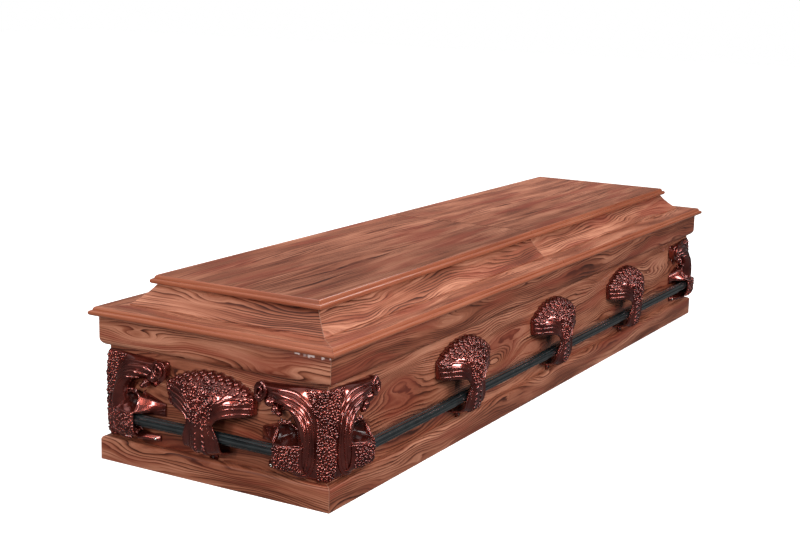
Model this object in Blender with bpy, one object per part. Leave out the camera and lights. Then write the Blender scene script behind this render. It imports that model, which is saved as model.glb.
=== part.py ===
"""A wooden coffin with a two-part panelled lid, cast tree brackets and fluted handle bars.

X runs along the coffin from foot to head, Y across it and Z up. The origin is under the
middle of the plinth, on the surface that the coffin stands on. All sizes are in metres.
"""

import math

import bmesh
import bpy
from mathutils import Vector

# Box
BODY_LENGTH = 1.980
BODY_WIDTH = 0.530
WALL = 0.018
FLOOR = 0.015
PLINTH_HEIGHT = 0.050
PLINTH_OUT = 0.016
PLINTH_ROUND = 0.008
PANEL_HEIGHT = 0.193
FRIEZE_HEIGHT = 0.0625
FRIEZE_OUT = 0.016
FRIEZE_ROUND = 0.016

# Lid
LID_BOARD = 0.018
LID_SEAM = 0.017
SEAM_GAP = 0.0012
RIM_OUT = 0.032
RIM_IN = 0.052
NOSE_HEIGHT = 0.0105
NOSE_DEPTH = 0.005
LIP = 0.002
EDGE_WIDTH = 0.011
SLOPE_FOOT = 0.028
SLOPE_HEIGHT = 0.0435
SLOPE_RUN = 0.0405
SLOPE_BOARD = 0.024
SLOPE_FILLET = 0.0025
COVE_SAG = 0.0025
TOP_OVER = 0.012

# Handle bars
BAR_RADIUS = 0.01175
BAR_FLUTES = 12
FLUTE_DEPTH = 0.0012
BAR_STANDOFF = 0.031
BAR_RISE = 0.058
BAR_END = 0.050

# Cast fittings
SHELL = 0.003
WALL_TURN = 3.5
LEAF_RELIEF = 0.0018
RIB_RELIEF = 0.0028
TREE_SPACING = 0.470
TREES_A_SIDE = 3
TREE_REACH = 0.107
TREE_FOOT_RISE = 0.0155
TREE_TOP_DROP = 0.014
TREE_TIP_DROP = 0.035
NECK_RISE = 0.085
NECK_HALF = 0.029
FOOT_HALF = 0.050
CROWN_RISE = 0.023
CROWN_DOME = 0.020
TIP_CORNER = 0.55
TIP_TAPER = 0.004
TRUNK_CLEARANCE = 0.0075
TRUNK_ROUND = 0.003
TRUNK_SQUARE = 4.0
TRUNK_FLARE = 0.8
BEND_OUT = 1.15
TIP_WAVE = 0.035
TREE_RIB_FIRST = 0.4
TREE_RIB_STEP = 0.3
TREE_LEAVES_ACROSS = 2.5
TREE_LEAVES_UP = 4.0
TAB_HALF = 0.010
TAB_THICK = 0.004
CORNER_FOOT_RISE = 0.002
CORNER_TOP_DROP = 0.008
COLUMN_SHARE = 0.3
COLUMN_NOSE = 0.0045
COLUMN_HALF = 0.022
COLUMN_DEPTH = 0.011
COLUMN_FLARE = 0.010
COLUMN_BULGE = 1.5
COLUMN_LEAVES_ACROSS = 2.0
COLUMN_LEAVES_UP = 5.0
RIDGE = 0.5
RIDGE_NECK = 0.034
RIDGE_BEND = 0.036
RIDGE_BEND_RISE = 0.068
RIDGE_FOOT = 0.060
WING_NECK = 0.060
WING_BEND = 0.062
WING_BEND_RISE = 0.061
WING_FOOT = 0.096
WING_FOOT_RISE = 0.014
WING_REACH = 0.155
WING_TIP_LOW = 0.116
WING_TIP_DROP = 0.064
WING_DIP = 0.005
WING_DEPTH = 0.031
WING_RIB_STEP = 0.5
WING_FOOT_INSET = 1.5
WING_TIP_INSET = 1.3
WING_LOW_INSET = 1.0 / 3.0
SOCKET_START = 0.024
SOCKET_MOUTH = 0.092
SOCKET_WALL = 0.0045
SOCKET_ABOVE = 0.008
SOCKET_BELOW = 0.012
SOCKET_FLARE = 0.014
SOCKET_SHOULDER = 0.62
NICHE_START = 0.067
NICHE_FLOOR = 0.004
HOOD_HEIGHT = 0.036
HOOD_DEPTH = 0.022
ARM_REACH = 0.144
ARM_HEIGHT = 0.021
ARM_LIFT = 0.0018
FOOT_ARM_REACH = 0.134
FOOT_ARM_RISE = 0.008
FOOT_ARM_HEIGHT = 0.014
ARM_END = 0.004
SCROLL_ALONG = 0.128
SCROLL_DROP = 0.020
SCROLL_RADIUS = 0.0135
SCROLL_DEPTH = 0.021
CURL_ALONG = 0.106
CURL_DROP = 0.054
CURL_RADIUS = 0.009
CAST_BACK = 0.001

# Fits: pieces that touch keep this gap
GAP = 0.0003
MITRE_GAP = 0.00025

# Heights and depths that follow from the sizes above
FRIEZE_BOTTOM = PLINTH_HEIGHT + PANEL_HEIGHT
BOX_TOP = FRIEZE_BOTTOM + FRIEZE_HEIGHT
RIM_BOTTOM = BOX_TOP + GAP
RIM_TOP = RIM_BOTTOM + LID_BOARD
SLOPE_TOP = RIM_TOP + GAP + SLOPE_HEIGHT
PANEL_BOTTOM = SLOPE_TOP + GAP
BAR_Z = PLINTH_HEIGHT + BAR_RISE
BAR_FRONT = BAR_STANDOFF + BAR_RADIUS
TREE_DEPTH = BAR_FRONT + TRUNK_CLEARANCE + SHELL
TREE_FOOT = PLINTH_HEIGHT + TREE_FOOT_RISE
TREE_NECK = PLINTH_HEIGHT + NECK_RISE
TREE_TOP = FRIEZE_BOTTOM - TREE_TOP_DROP
CORNER_FOOT = PLINTH_HEIGHT + CORNER_FOOT_RISE
CORNER_TOP = FRIEZE_BOTTOM - CORNER_TOP_DROP


def clear_scene():
    for item in list(bpy.data.objects):
        bpy.data.objects.remove(item, do_unlink=True)


def make_material(name, colour, roughness, metallic=0.0):
    material = bpy.data.materials.new(name)
    material.use_nodes = True
    shader = material.node_tree.nodes["Principled BSDF"]
    shader.inputs["Base Color"].default_value = (*colour, 1.0)
    shader.inputs["Roughness"].default_value = roughness
    shader.inputs["Metallic"].default_value = metallic
    return material


def closed_mesh(name, points, faces):
    """A mesh with its faces turned outwards."""
    mesh = bpy.data.meshes.new(name)
    mesh.from_pydata([tuple(point) for point in points], [], faces)
    body = bmesh.new()
    body.from_mesh(mesh)
    bmesh.ops.recalc_face_normals(body, faces=body.faces)
    body.to_mesh(mesh)
    body.free()
    return mesh


def add_piece(name, mesh, material, sharp_above=35.0):
    mesh.materials.clear()
    mesh.materials.append(material)
    mesh.shade_smooth()
    mesh.set_sharp_from_angle(angle=math.radians(sharp_above))
    piece = bpy.data.objects.new(name, mesh)
    bpy.context.scene.collection.objects.link(piece)
    return piece


def arc(start_angle, end_angle, steps):
    """Cosine and sine at even steps from one angle to the other, in degrees."""
    angles = [start_angle + (end_angle - start_angle) * k / steps for k in range(steps + 1)]
    return [(math.cos(math.radians(a)), math.sin(math.radians(a))) for a in angles]


def blend(start, end, share):
    return start + (end - start) * share


def smooth(low, high, value):
    """Zero below low, one above high, with an even curve between."""
    share = min(max((value - low) / (high - low), 0.0), 1.0)
    return share * share * (3.0 - 2.0 * share)


# Sections of the boards: (out from the wall's face, height)
def plinth_section():
    crest = [
        (PLINTH_OUT - PLINTH_ROUND * (1.0 - c), PLINTH_HEIGHT - PLINTH_ROUND * (1.0 - s))
        for c, s in arc(0, 90, 4)
    ]
    return [(GAP, 0.0), (PLINTH_OUT, 0.0), *crest, (GAP, PLINTH_HEIGHT)]


def wall_section():
    return [(-WALL, 0.0), (0.0, 0.0), (0.0, BOX_TOP), (-WALL, BOX_TOP)]


def frieze_section():
    belly = [
        (GAP + (FRIEZE_OUT - GAP) * s, FRIEZE_BOTTOM + FRIEZE_ROUND * (1.0 - c))
        for c, s in arc(0, 90, 5)
    ]
    return [*belly, (FRIEZE_OUT, BOX_TOP), (GAP, BOX_TOP)]


def routed_edge(tip, bottom):
    """The edge of a lid board: a round nose, a small lip and a bevel up to the flat."""
    centre = bottom + NOSE_HEIGHT / 2
    nose = [
        (tip - NOSE_DEPTH * (1.0 - c), centre + NOSE_HEIGHT / 2 * s)
        for c, s in arc(-90, 90, 4)
    ]
    lip = (tip - NOSE_DEPTH - LIP, bottom + NOSE_HEIGHT)
    flat = (tip - EDGE_WIDTH, bottom + LID_BOARD)
    return [*nose, lip, flat]


def rim_section():
    return [
        (-RIM_IN, RIM_BOTTOM),
        *routed_edge(RIM_OUT, RIM_BOTTOM),
        (-RIM_IN, RIM_TOP),
    ]


def slope_section():
    """A leaning board, slightly hollowed on its face."""
    low = RIM_TOP + GAP
    crown = -SLOPE_FOOT - SLOPE_RUN
    face = [(-SLOPE_FOOT, low), (-SLOPE_FOOT - GAP, low + SLOPE_FILLET)]
    steps = 5
    for k in range(1, steps + 1):
        share = k / steps
        sag = COVE_SAG * 4.0 * share * (1.0 - share) * math.sqrt(0.5)
        face.append(
            (
                blend(-SLOPE_FOOT - GAP, crown, share) - sag,
                blend(low + SLOPE_FILLET, SLOPE_TOP, share) - sag,
            )
        )
    return [*face, (crown - SLOPE_BOARD, SLOPE_TOP), (-SLOPE_FOOT - SLOPE_BOARD, low)]


def run_board(name, section, side, start=None, end=None):
    """A board of one section along a side, mitred where no cut position is given."""
    along_x = side in ("front", "back")
    half_run = (BODY_LENGTH if along_x else BODY_WIDTH) / 2
    half_across = (BODY_WIDTH if along_x else BODY_LENGTH) / 2
    away = -1.0 if side in ("front", "foot") else 1.0
    points = []
    for out, height in section:
        mitre = half_run + out - MITRE_GAP
        low = -mitre if start is None else start
        high = mitre if end is None else end
        for place in (low, high):
            across = away * (half_across + out)
            points.append((place, across, height) if along_x else (across, place, height))
    count = len(section)
    faces = [list(range(0, 2 * count, 2)), list(range(1, 2 * count, 2))]
    for k in range(count):
        after = (k + 1) % count
        faces.append([2 * k, 2 * after, 2 * after + 1, 2 * k + 1])
    return closed_mesh(name, points, faces)


def lid_panel(name, low_x, high_x, low_is_seam):
    """The top panel of one lid half: routed on three edges and cut square at the seam."""
    tip = -SLOPE_FOOT - SLOPE_RUN + TOP_OVER
    outline = routed_edge(tip, PANEL_BOTTOM)
    points = []
    for out, height in outline:
        half = BODY_WIDTH / 2 + out
        inset = out - tip
        low = low_x if low_is_seam else low_x - inset
        high = high_x + inset if low_is_seam else high_x
        points += [
            (low, -half, height),
            (high, -half, height),
            (high, half, height),
            (low, half, height),
        ]
    faces = [[3, 2, 1, 0]]
    for level in range(len(outline) - 1):
        base = 4 * level
        for k in range(4):
            after = (k + 1) % 4
            faces.append([base + k, base + after, base + 4 + after, base + 4 + k])
    top = 4 * (len(outline) - 1)
    faces.append([top, top + 1, top + 2, top + 3])
    return closed_mesh(name, points, faces)


def box_mesh(name, low, high):
    points = [
        (x, y, z) for x in (low[0], high[0]) for y in (low[1], high[1]) for z in (low[2], high[2])
    ]
    faces = [[0, 1, 3, 2], [4, 6, 7, 5], [0, 4, 5, 1], [2, 3, 7, 6], [0, 2, 6, 4], [1, 5, 7, 3]]
    return closed_mesh(name, points, faces)


def shell_mesh(name, outer, inner, off_wall):
    """One closed body between two grids of points with the same rows and columns.

    Both grids are split into triangles along the diagonal that stands further off the wall.
    """
    rows, columns = len(outer), len(outer[0])
    points = [point for grid in (outer, inner) for row in grid for point in row]
    back = rows * columns
    faces = []
    for r in range(rows - 1):
        for c in range(columns - 1):
            corner = r * columns + c
            quad = [corner, corner + 1, corner + columns + 1, corner + columns]
            lift = [off_wall(points[k]) for k in quad]
            first = 0 if lift[0] + lift[2] > lift[1] + lift[3] else 1
            quad = quad[first:] + quad[:first]
            for triangle in (quad[:3], [quad[0], quad[2], quad[3]]):
                faces.append(triangle)
                faces.append([back + k for k in reversed(triangle)])
    rim = [c for c in range(columns)]
    rim += [r * columns + columns - 1 for r in range(1, rows)]
    rim += [(rows - 1) * columns + c for c in range(columns - 2, -1, -1)]
    rim += [r * columns for r in range(rows - 2, 0, -1)]
    for k, first in enumerate(rim):
        second = rim[(k + 1) % len(rim)]
        faces.append([first, second, back + second, back + first])
    return closed_mesh(name, points, faces)


def split_faces(mesh):
    """Splits bent faces into triangles, so that each step of a union reads them alike."""
    shape = bmesh.new()
    shape.from_mesh(mesh)
    bmesh.ops.triangulate(shape, faces=shape.faces)
    shape.to_mesh(mesh)
    shape.free()


def join_solids(name, solids, cutters=()):
    """The union of the first meshes, less the cutters, as one mesh."""
    helpers = []
    for mesh in (*solids, *cutters):
        split_faces(mesh)
        helper = bpy.data.objects.new(mesh.name + "_helper", mesh)
        bpy.context.scene.collection.objects.link(helper)
        if helpers:
            step = helpers[0].modifiers.new(helper.name, "BOOLEAN")
            step.operation = "UNION" if len(helpers) < len(solids) else "DIFFERENCE"
            step.solver = "MANIFOLD"
            step.object = helper
        helpers.append(helper)
    bpy.context.view_layer.update()
    graph = bpy.context.evaluated_depsgraph_get()
    joined = bpy.data.meshes.new_from_object(helpers[0].evaluated_get(graph))
    joined.name = name
    for helper in helpers:
        bpy.data.objects.remove(helper, do_unlink=True)
    return joined


# Handle bars
def bar_mesh(name, length):
    """A fluted bar along X, centred on the origin."""
    section = []
    for k in range(2 * BAR_FLUTES):
        radius = BAR_RADIUS - (FLUTE_DEPTH if k % 2 else 0.0)
        angle = math.pi * k / BAR_FLUTES
        section.append((radius * math.cos(angle), radius * math.sin(angle)))
    count = len(section)
    points = [(x, y, z) for x in (-length / 2, length / 2) for y, z in section]
    faces = [list(range(count)), list(range(count, 2 * count))]
    for k in range(count):
        after = (k + 1) % count
        faces.append([k, after, count + after, count + k])
    return closed_mesh(name, points, faces)


# Tree bracket, standing on the wall plane Y = 0 with its front towards -Y
def ribs(share, first, spacing):
    """One on each ridge of the branches and zero in the hollows between them."""
    wave = 0.5 + 0.5 * math.cos(2.0 * math.pi * (share - first) / spacing)
    return blend(1.0, wave, smooth(first - spacing / 2, first, share))


def tree_rim(side, skin):
    """Where a flow line of the crown ends: over the round top, then down the tip."""
    reach = TREE_REACH - skin
    top = TREE_TOP - skin
    tip = TREE_TOP - TREE_TIP_DROP - skin
    rise = top - tip
    radius = (reach * reach + rise * rise) / (2.0 * rise)
    turn = math.asin(reach / radius)
    share = abs(side)
    if share <= TIP_CORNER:
        angle = turn * share / TIP_CORNER
        across, height = radius * math.sin(angle), top - radius * (1.0 - math.cos(angle))
    else:
        down = (share - TIP_CORNER) / (1.0 - TIP_CORNER)
        across = reach - TIP_TAPER * down * down
        height = blend(tip, TREE_NECK + CROWN_RISE, down)
    return math.copysign(across, side), height


def tree_point(side, rise, skin):
    """A point of the tree's shell. side runs from -1 to 1, rise from foot 0 over neck 1 to 2."""
    depth = TREE_DEPTH - skin
    groove = 1.0 - ribs(abs(side), TREE_RIB_FIRST, TREE_RIB_STEP)
    if rise <= 1.0:
        angle = math.radians(90.0 * rise)
        foot = TREE_FOOT + skin
        down = max(math.cos(angle), 0.0) ** (2.0 / TRUNK_SQUARE)
        half = blend(NECK_HALF, FOOT_HALF, down**TRUNK_FLARE)
        height = blend(TREE_NECK, foot, down)
        out = (depth - TRUNK_ROUND * side * side) * math.sin(angle) ** (2.0 / TRUNK_SQUARE)
        return Vector((side * half, -GAP - out, height))
    share = rise - 1.0
    end_across, end_height = tree_rim(side, skin)
    end_across *= 1.0 - TIP_WAVE * groove
    bend_across = side * NECK_HALF * BEND_OUT
    bend_height = TREE_NECK + CROWN_RISE + CROWN_DOME * (1.0 - abs(side))
    stay = (1.0 - share) ** 2
    turn = 2.0 * share * (1.0 - share)
    across = stay * side * NECK_HALF + turn * bend_across + share * share * end_across
    height = stay * TREE_NECK + turn * bend_height + share * share * end_height
    fall = math.sqrt(1.0 - share**WALL_TURN)
    out = (depth - TRUNK_ROUND * side * side * (1.0 - share)) * fall
    body = smooth(0.0, 0.25, share) * smooth(1.0, 0.8, share)
    out -= RIB_RELIEF * groove * body
    if abs(side) < 0.5 and skin == 0.0:
        leaves = math.cos(TREE_LEAVES_ACROSS * math.pi * side) * math.cos(TREE_LEAVES_UP * math.pi * share)
        out += LEAF_RELIEF * leaves * body
    return Vector((across, -GAP - out, height))


def tree_mesh():
    sides = [0.0, 0.28, 0.55, 0.7, 0.85, 1.0]
    sides = [-side for side in reversed(sides[1:])] + sides
    rises = [0.0, 0.25, 0.5, 0.75, 1.0, 1.25, 1.5, 1.75, 1.92, 2.0]
    grids = [[[tree_point(s, r, skin) for s in sides] for r in rises] for skin in (0.0, SHELL)]
    shell = shell_mesh("tree_shell", *grids, lambda point: -point.y)
    tab = box_mesh(
        "tree_tab",
        (-TAB_HALF, -GAP - TAB_THICK, PLINTH_HEIGHT + GAP),
        (TAB_HALF, -GAP, TREE_FOOT + SHELL / 2),
    )
    return join_solids("tree_bracket", [shell, tab])


# Corner bracket: the box's corner is at the origin with the box towards +X and +Y.
# A wing point is (along the wall, out from it, height), here for the wing on X = 0.
def wing_to_corner(along, out, height, mirrored=False):
    if mirrored:
        return Vector((along, -GAP - out, height))
    return Vector((-GAP - out, along, height))


def wing_rim(share, skin):
    """Where a flow line of the wing ends: along the top edge, then down the branch tip."""
    top = CORNER_TOP - skin
    reach = WING_REACH - skin
    if share <= RIDGE:
        out = share / RIDGE
        return blend(COLUMN_HALF + COLUMN_FLARE, reach, out), top - WING_DIP * out
    down = (share - RIDGE) / (1.0 - RIDGE)
    return (
        blend(reach, WING_TIP_LOW - WING_LOW_INSET * skin, down * down),
        blend(top - WING_DIP, CORNER_TOP - WING_TIP_DROP + WING_TIP_INSET * skin, down),
    )


def wing_section(share, skin, edge, ridge, end):
    """Along and out of the wing's arch: up from the column, over the ridge, to the wall."""
    if share <= RIDGE:
        up = share / RIDGE
        side = skin * math.sin(math.pi * up)
        out = blend(COLUMN_DEPTH, WING_DEPTH, smooth(0.0, 0.9, up))
        return blend(edge, ridge, up) + side, out - skin
    angle = math.radians(90.0) * (share - RIDGE) / (1.0 - RIDGE)
    reach = max(end - ridge - skin, 0.0)
    return ridge + reach * math.sin(angle), (WING_DEPTH - skin) * math.cos(angle)


def corner_point(side, rise, skin):
    """A point of the corner shell. side runs from the corner 0 to the branch's edge 1."""
    share = max(side - COLUMN_SHARE, 0.0) / (1.0 - COLUMN_SHARE)
    upper = max(rise - 1.0, 0.0)
    lower = 1.0 - min(rise, 1.0)
    neck = CORNER_FOOT + NECK_RISE
    start, depth = wing_section(share, skin, COLUMN_HALF, RIDGE_NECK, WING_NECK)
    if rise <= 1.0:
        foot_end = WING_FOOT - WING_FOOT_INSET * skin
        foot_along, _ = wing_section(share, skin, COLUMN_HALF, RIDGE_FOOT, foot_end)
        along = blend(start, foot_along, lower * lower)
        height = blend(neck, CORNER_FOOT + WING_FOOT_RISE * share * share + skin, lower)
        fall = math.sqrt(1.0 - lower**WALL_TURN)
    else:
        over = max(share - RIDGE, 0.0) / (1.0 - RIDGE)
        bend = blend(RIDGE_BEND, WING_BEND - skin, over)
        bend = blend(COLUMN_HALF, bend, min(share / RIDGE, 1.0))
        bend_height = neck + blend(RIDGE_BEND_RISE, WING_BEND_RISE + skin, over)
        end_along, end_height = wing_rim(share, skin)
        stay = (1.0 - upper) ** 2
        turn = 2.0 * upper * (1.0 - upper)
        along = stay * start + turn * bend + upper * upper * end_along
        height = stay * neck + turn * bend_height + upper * upper * end_height
        fall = math.sqrt(1.0 - upper**WALL_TURN)
        groove = (1.0 - ribs(share, RIDGE, WING_RIB_STEP)) * smooth(1.0, 0.9, share)
        depth -= RIB_RELIEF * groove * smooth(0.0, 0.2, upper) * smooth(1.0, 0.8, upper)
    if side >= COLUMN_SHARE:
        return along, depth * fall, height
    across = side / COLUMN_SHARE
    height = blend(neck, CORNER_TOP - skin, upper) if rise > 1.0 else height
    out = (blend(COLUMN_NOSE, COLUMN_DEPTH, across**COLUMN_BULGE) - skin) * fall
    if skin == 0.0:
        leaves = math.cos(COLUMN_LEAVES_ACROSS * math.pi * across) * math.cos(COLUMN_LEAVES_UP * math.pi * rise)
        out += LEAF_RELIEF * leaves * smooth(1.0, 0.75, lower) * smooth(1.0, 0.8, upper)
    return across * along - (1.0 - across) * out, out, height


def corner_shell():
    shares = [0.0, 0.25, 0.5, 0.75, 1.0]
    sides = [0.0, COLUMN_SHARE / 2]
    sides += [blend(COLUMN_SHARE, 1.0, share) for share in shares]
    signed = [(-1, side) for side in reversed(sides[1:])] + [(1, side) for side in sides]
    rises = [0.0, 0.12, 0.5, 1.0, 1.3, 1.6, 1.88, 2.0]
    grids = []
    for skin in (0.0, SHELL):
        rows = []
        for rise in rises:
            row = [
                wing_to_corner(*corner_point(side, rise, skin), mirrored=sign < 0)
                for sign, side in signed
            ]
            rows.append(row)
        grids.append(rows)
    return shell_mesh("corner_shell", *grids, lambda point: max(-point.x, -point.y))


def wing_prism(name, plan, mirrored):
    """A solid over a plan of (along, out, low, high) corners."""
    points = []
    for along, out, low, high in plan:
        points.append(wing_to_corner(along, out, low, mirrored))
        points.append(wing_to_corner(along, out, high, mirrored))
    count = len(plan)
    faces = [list(range(0, 2 * count, 2)), list(range(1, 2 * count, 2))]
    for k in range(count):
        after = (k + 1) % count
        faces.append([2 * k, 2 * after, 2 * after + 1, 2 * k + 1])
    return closed_mesh(name, points, faces)


def wing_slab(name, outline, low, high, mirrored):
    """A solid of one outline of (out, height) points, run along the wall."""
    points = [wing_to_corner(a, out, z, mirrored) for a in (low, high) for out, z in outline]
    count = len(outline)
    faces = [list(range(count)), list(range(count, 2 * count))]
    for k in range(count):
        after = (k + 1) % count
        faces.append([k, after, count + after, count + k])
    return closed_mesh(name, points, faces)


def wing_disc(name, along, height, radius, mirrored):
    """A short cylinder standing out from the wall."""
    sides = 6
    turn = 360 - 360 / sides
    ring = [(along + radius * c, height + radius * s) for c, s in arc(0, turn, sides - 1)]
    points = [
        wing_to_corner(a, out, z, mirrored) for out in (CAST_BACK, SCROLL_DEPTH) for a, z in ring
    ]
    faces = [list(range(sides)), list(range(sides, 2 * sides))]
    for k in range(sides):
        after = (k + 1) % sides
        faces.append([k, after, sides + after, sides + k])
    return closed_mesh(name, points, faces)


def bar_cutter(mirrored):
    """The round hole that the bar's end sits in."""
    steps = 10
    radius = (BAR_RADIUS + GAP) / math.cos(math.pi / steps)
    ring = [
        (BAR_STANDOFF - GAP + radius * c, BAR_Z + radius * s)
        for c, s in arc(0, 360 - 360 / steps, steps - 1)
    ]
    return wing_slab("bar_hole", ring, BAR_END - GAP, SOCKET_MOUTH + BAR_END, mirrored)


def niche_cutter(mirrored):
    """The dark hollow over the socket, behind its leafy front."""
    front = BAR_FRONT
    floor = BAR_Z + BAR_RADIUS + NICHE_FLOOR
    high = BAR_Z + BAR_RADIUS + HOOD_HEIGHT - SHELL
    outline = [
        (2 * SHELL, floor),
        (front, floor),
        (front, floor + SOCKET_ABOVE),
        (HOOD_DEPTH, high),
        (2 * SHELL, high - SHELL),
    ]
    return wing_slab("niche", outline, NICHE_START, SOCKET_MOUTH - SHELL, mirrored)


def wing_solids(mirrored):
    """The socket, the arms and the scrolls that are cast onto one wing."""
    front = BAR_FRONT + SOCKET_WALL - GAP
    above = BAR_Z + BAR_RADIUS
    low, high = BAR_Z - BAR_RADIUS - SOCKET_BELOW, above + SOCKET_ABOVE
    inside = BAR_END - GAP - SHELL
    shoulder = SOCKET_SHOULDER * front
    socket = [
        (SOCKET_START, CAST_BACK, low - SOCKET_FLARE, high + SOCKET_FLARE),
        (SOCKET_START, shoulder, low, high),
        (inside, front, low, high),
        (SOCKET_MOUTH, front, low, high),
        (SOCKET_MOUTH, CAST_BACK, low - SOCKET_FLARE, high + SOCKET_FLARE),
    ]
    hood = [
        (2 * CAST_BACK, above),
        (front, above),
        (front, high),
        (HOOD_DEPTH, above + HOOD_HEIGHT),
        (2 * CAST_BACK, above + HOOD_HEIGHT - SHELL),
    ]
    arm_low = above + ARM_LIFT
    arm_high = arm_low + ARM_HEIGHT
    arm_front = front - ARM_END
    arm_start = SOCKET_MOUTH - SHELL / 2
    arm = [
        (arm_start, 0.0, arm_low, arm_high),
        (arm_start, arm_front, arm_low, high - ARM_LIFT),
        (ARM_REACH, ARM_END, arm_low - ARM_LIFT, arm_high - ARM_LIFT),
        (ARM_REACH, 0.0, arm_low - ARM_LIFT, arm_high),
    ]
    foot_low = CORNER_FOOT + FOOT_ARM_RISE
    foot_high = foot_low + FOOT_ARM_HEIGHT
    foot_back = CAST_BACK / 2
    foot_arm = [
        (inside, foot_back, foot_low, low + ARM_END),
        (inside, shoulder, foot_high, low + ARM_END),
        (SOCKET_MOUTH - ARM_END, shoulder, foot_high, low + ARM_END),
        (FOOT_ARM_REACH, ARM_END, foot_low, foot_high),
        (FOOT_ARM_REACH, foot_back, foot_low, foot_high),
    ]
    scroll_height, curl_height = CORNER_TOP - SCROLL_DROP, CORNER_TOP - CURL_DROP
    return [
        wing_prism("socket", socket, mirrored),
        wing_slab("hood", hood, SOCKET_MOUTH - 2 * SHELL, SOCKET_MOUTH - CAST_BACK / 2, mirrored),
        wing_prism("arm", arm, mirrored),
        wing_prism("foot_arm", foot_arm, mirrored),
        wing_disc("scroll", SCROLL_ALONG, scroll_height, SCROLL_RADIUS, mirrored),
        wing_disc("curl", CURL_ALONG, curl_height, CURL_RADIUS, mirrored),
    ]


def corner_mesh():
    solids = [corner_shell()]
    for mirrored in (False, True):
        solids += wing_solids(mirrored)
    cutters = [cutter(mirrored) for mirrored in (False, True) for cutter in (bar_cutter, niche_cutter)]
    return join_solids("corner_bracket", solids, cutters)


def build_box(wood):
    sections = {"plinth": plinth_section(), "wall": wall_section(), "frieze": frieze_section()}
    for kind, section in sections.items():
        for side in ("front", "back", "foot", "head"):
            name = f"{kind}_{side}"
            add_piece(name, run_board(name, section, side), wood)
    half_length = BODY_LENGTH / 2 - WALL - GAP
    half_width = BODY_WIDTH / 2 - WALL - GAP
    floor = box_mesh("floor_board", (-half_length, -half_width, 0.0), (half_length, half_width, FLOOR))
    add_piece("floor_board", floor, wood)


def build_lid(wood):
    """Two lid halves, each with three rim boards, three slope boards and a top panel."""
    tip = BODY_LENGTH / 2 - SLOPE_FOOT - SLOPE_RUN + TOP_OVER
    foot_cut = LID_SEAM - SEAM_GAP / 2
    head_cut = LID_SEAM + SEAM_GAP / 2
    halves = {"foot": (None, foot_cut), "head": (head_cut, None)}
    for kind, section in (("rim", rim_section()), ("slope", slope_section())):
        for half, (start, end) in halves.items():
            for side in ("front", "back"):
                name = f"{half}_lid_{kind}_{side}"
                add_piece(name, run_board(name, section, side, start, end), wood)
            name = f"{half}_lid_{kind}_end"
            add_piece(name, run_board(name, section, half), wood)
    add_piece("foot_lid_top", lid_panel("foot_lid_top", -tip, foot_cut, False), wood)
    add_piece("head_lid_top", lid_panel("head_lid_top", head_cut, tip, True), wood)


def place(name, mesh, material, turn, location):
    piece = add_piece(name, mesh, material)
    piece.rotation_euler = (0.0, 0.0, math.radians(turn))
    piece.location = location
    return piece


def build_bars(dark):
    long_bar = bar_mesh("long_bar", BODY_LENGTH - 2 * BAR_END)
    short_bar = bar_mesh("short_bar", BODY_WIDTH - 2 * BAR_END)
    across = BODY_WIDTH / 2 + BAR_STANDOFF
    along = BODY_LENGTH / 2 + BAR_STANDOFF
    place("handle_bar_front", long_bar, dark, 0, (0.0, -across, BAR_Z))
    place("handle_bar_back", long_bar.copy(), dark, 180, (0.0, across, BAR_Z))
    place("handle_bar_foot", short_bar, dark, 270, (-along, 0.0, BAR_Z))
    place("handle_bar_head", short_bar.copy(), dark, 90, (along, 0.0, BAR_Z))


def build_brackets(cast):
    tree = tree_mesh()
    for side, turn, away in (("front", 0, -1.0), ("back", 180, 1.0)):
        for k in range(TREES_A_SIDE):
            x = (k - (TREES_A_SIDE - 1) / 2) * TREE_SPACING
            place(f"tree_bracket_{side}_{k + 1}", tree, cast, turn, (x, away * BODY_WIDTH / 2, 0.0))
    place("tree_bracket_foot", tree, cast, 270, (-BODY_LENGTH / 2, 0.0, 0.0))
    place("tree_bracket_head", tree, cast, 90, (BODY_LENGTH / 2, 0.0, 0.0))
    corner = corner_mesh()
    corners = (
        ("foot_front", 0, -1, -1),
        ("head_front", 90, 1, -1),
        ("head_back", 180, 1, 1),
        ("foot_back", 270, -1, 1),
    )
    for where, turn, x, y in corners:
        location = (x * BODY_LENGTH / 2, y * BODY_WIDTH / 2, 0.0)
        place(f"corner_bracket_{where}", corner, cast, turn, location)


def main():
    clear_scene()
    wood = make_material("walnut_foil", (0.30, 0.115, 0.065), 0.35)
    cast = make_material("red_brown_lacquer", (0.10, 0.012, 0.010), 0.18, 0.6)
    dark = make_material("dark_bar", (0.022, 0.026, 0.025), 0.35, 0.3)
    build_box(wood)
    build_lid(wood)
    build_bars(dark)
    build_brackets(cast)


main()
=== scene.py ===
# %% [markdown]
# # A wooden coffin with cast fittings
#
# The coffin is a box of mitred boards under a two-part panelled lid. Its boards are wrapped in
# a reddish walnut foil. Eight cast tree brackets and four corner brackets hold fluted bars.
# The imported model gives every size, so this lesson only adds finer shapes, finishes and light.

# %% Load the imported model
import math
import random

import bmesh
import bpy
from mathutils import Euler, Matrix, Vector


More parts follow.
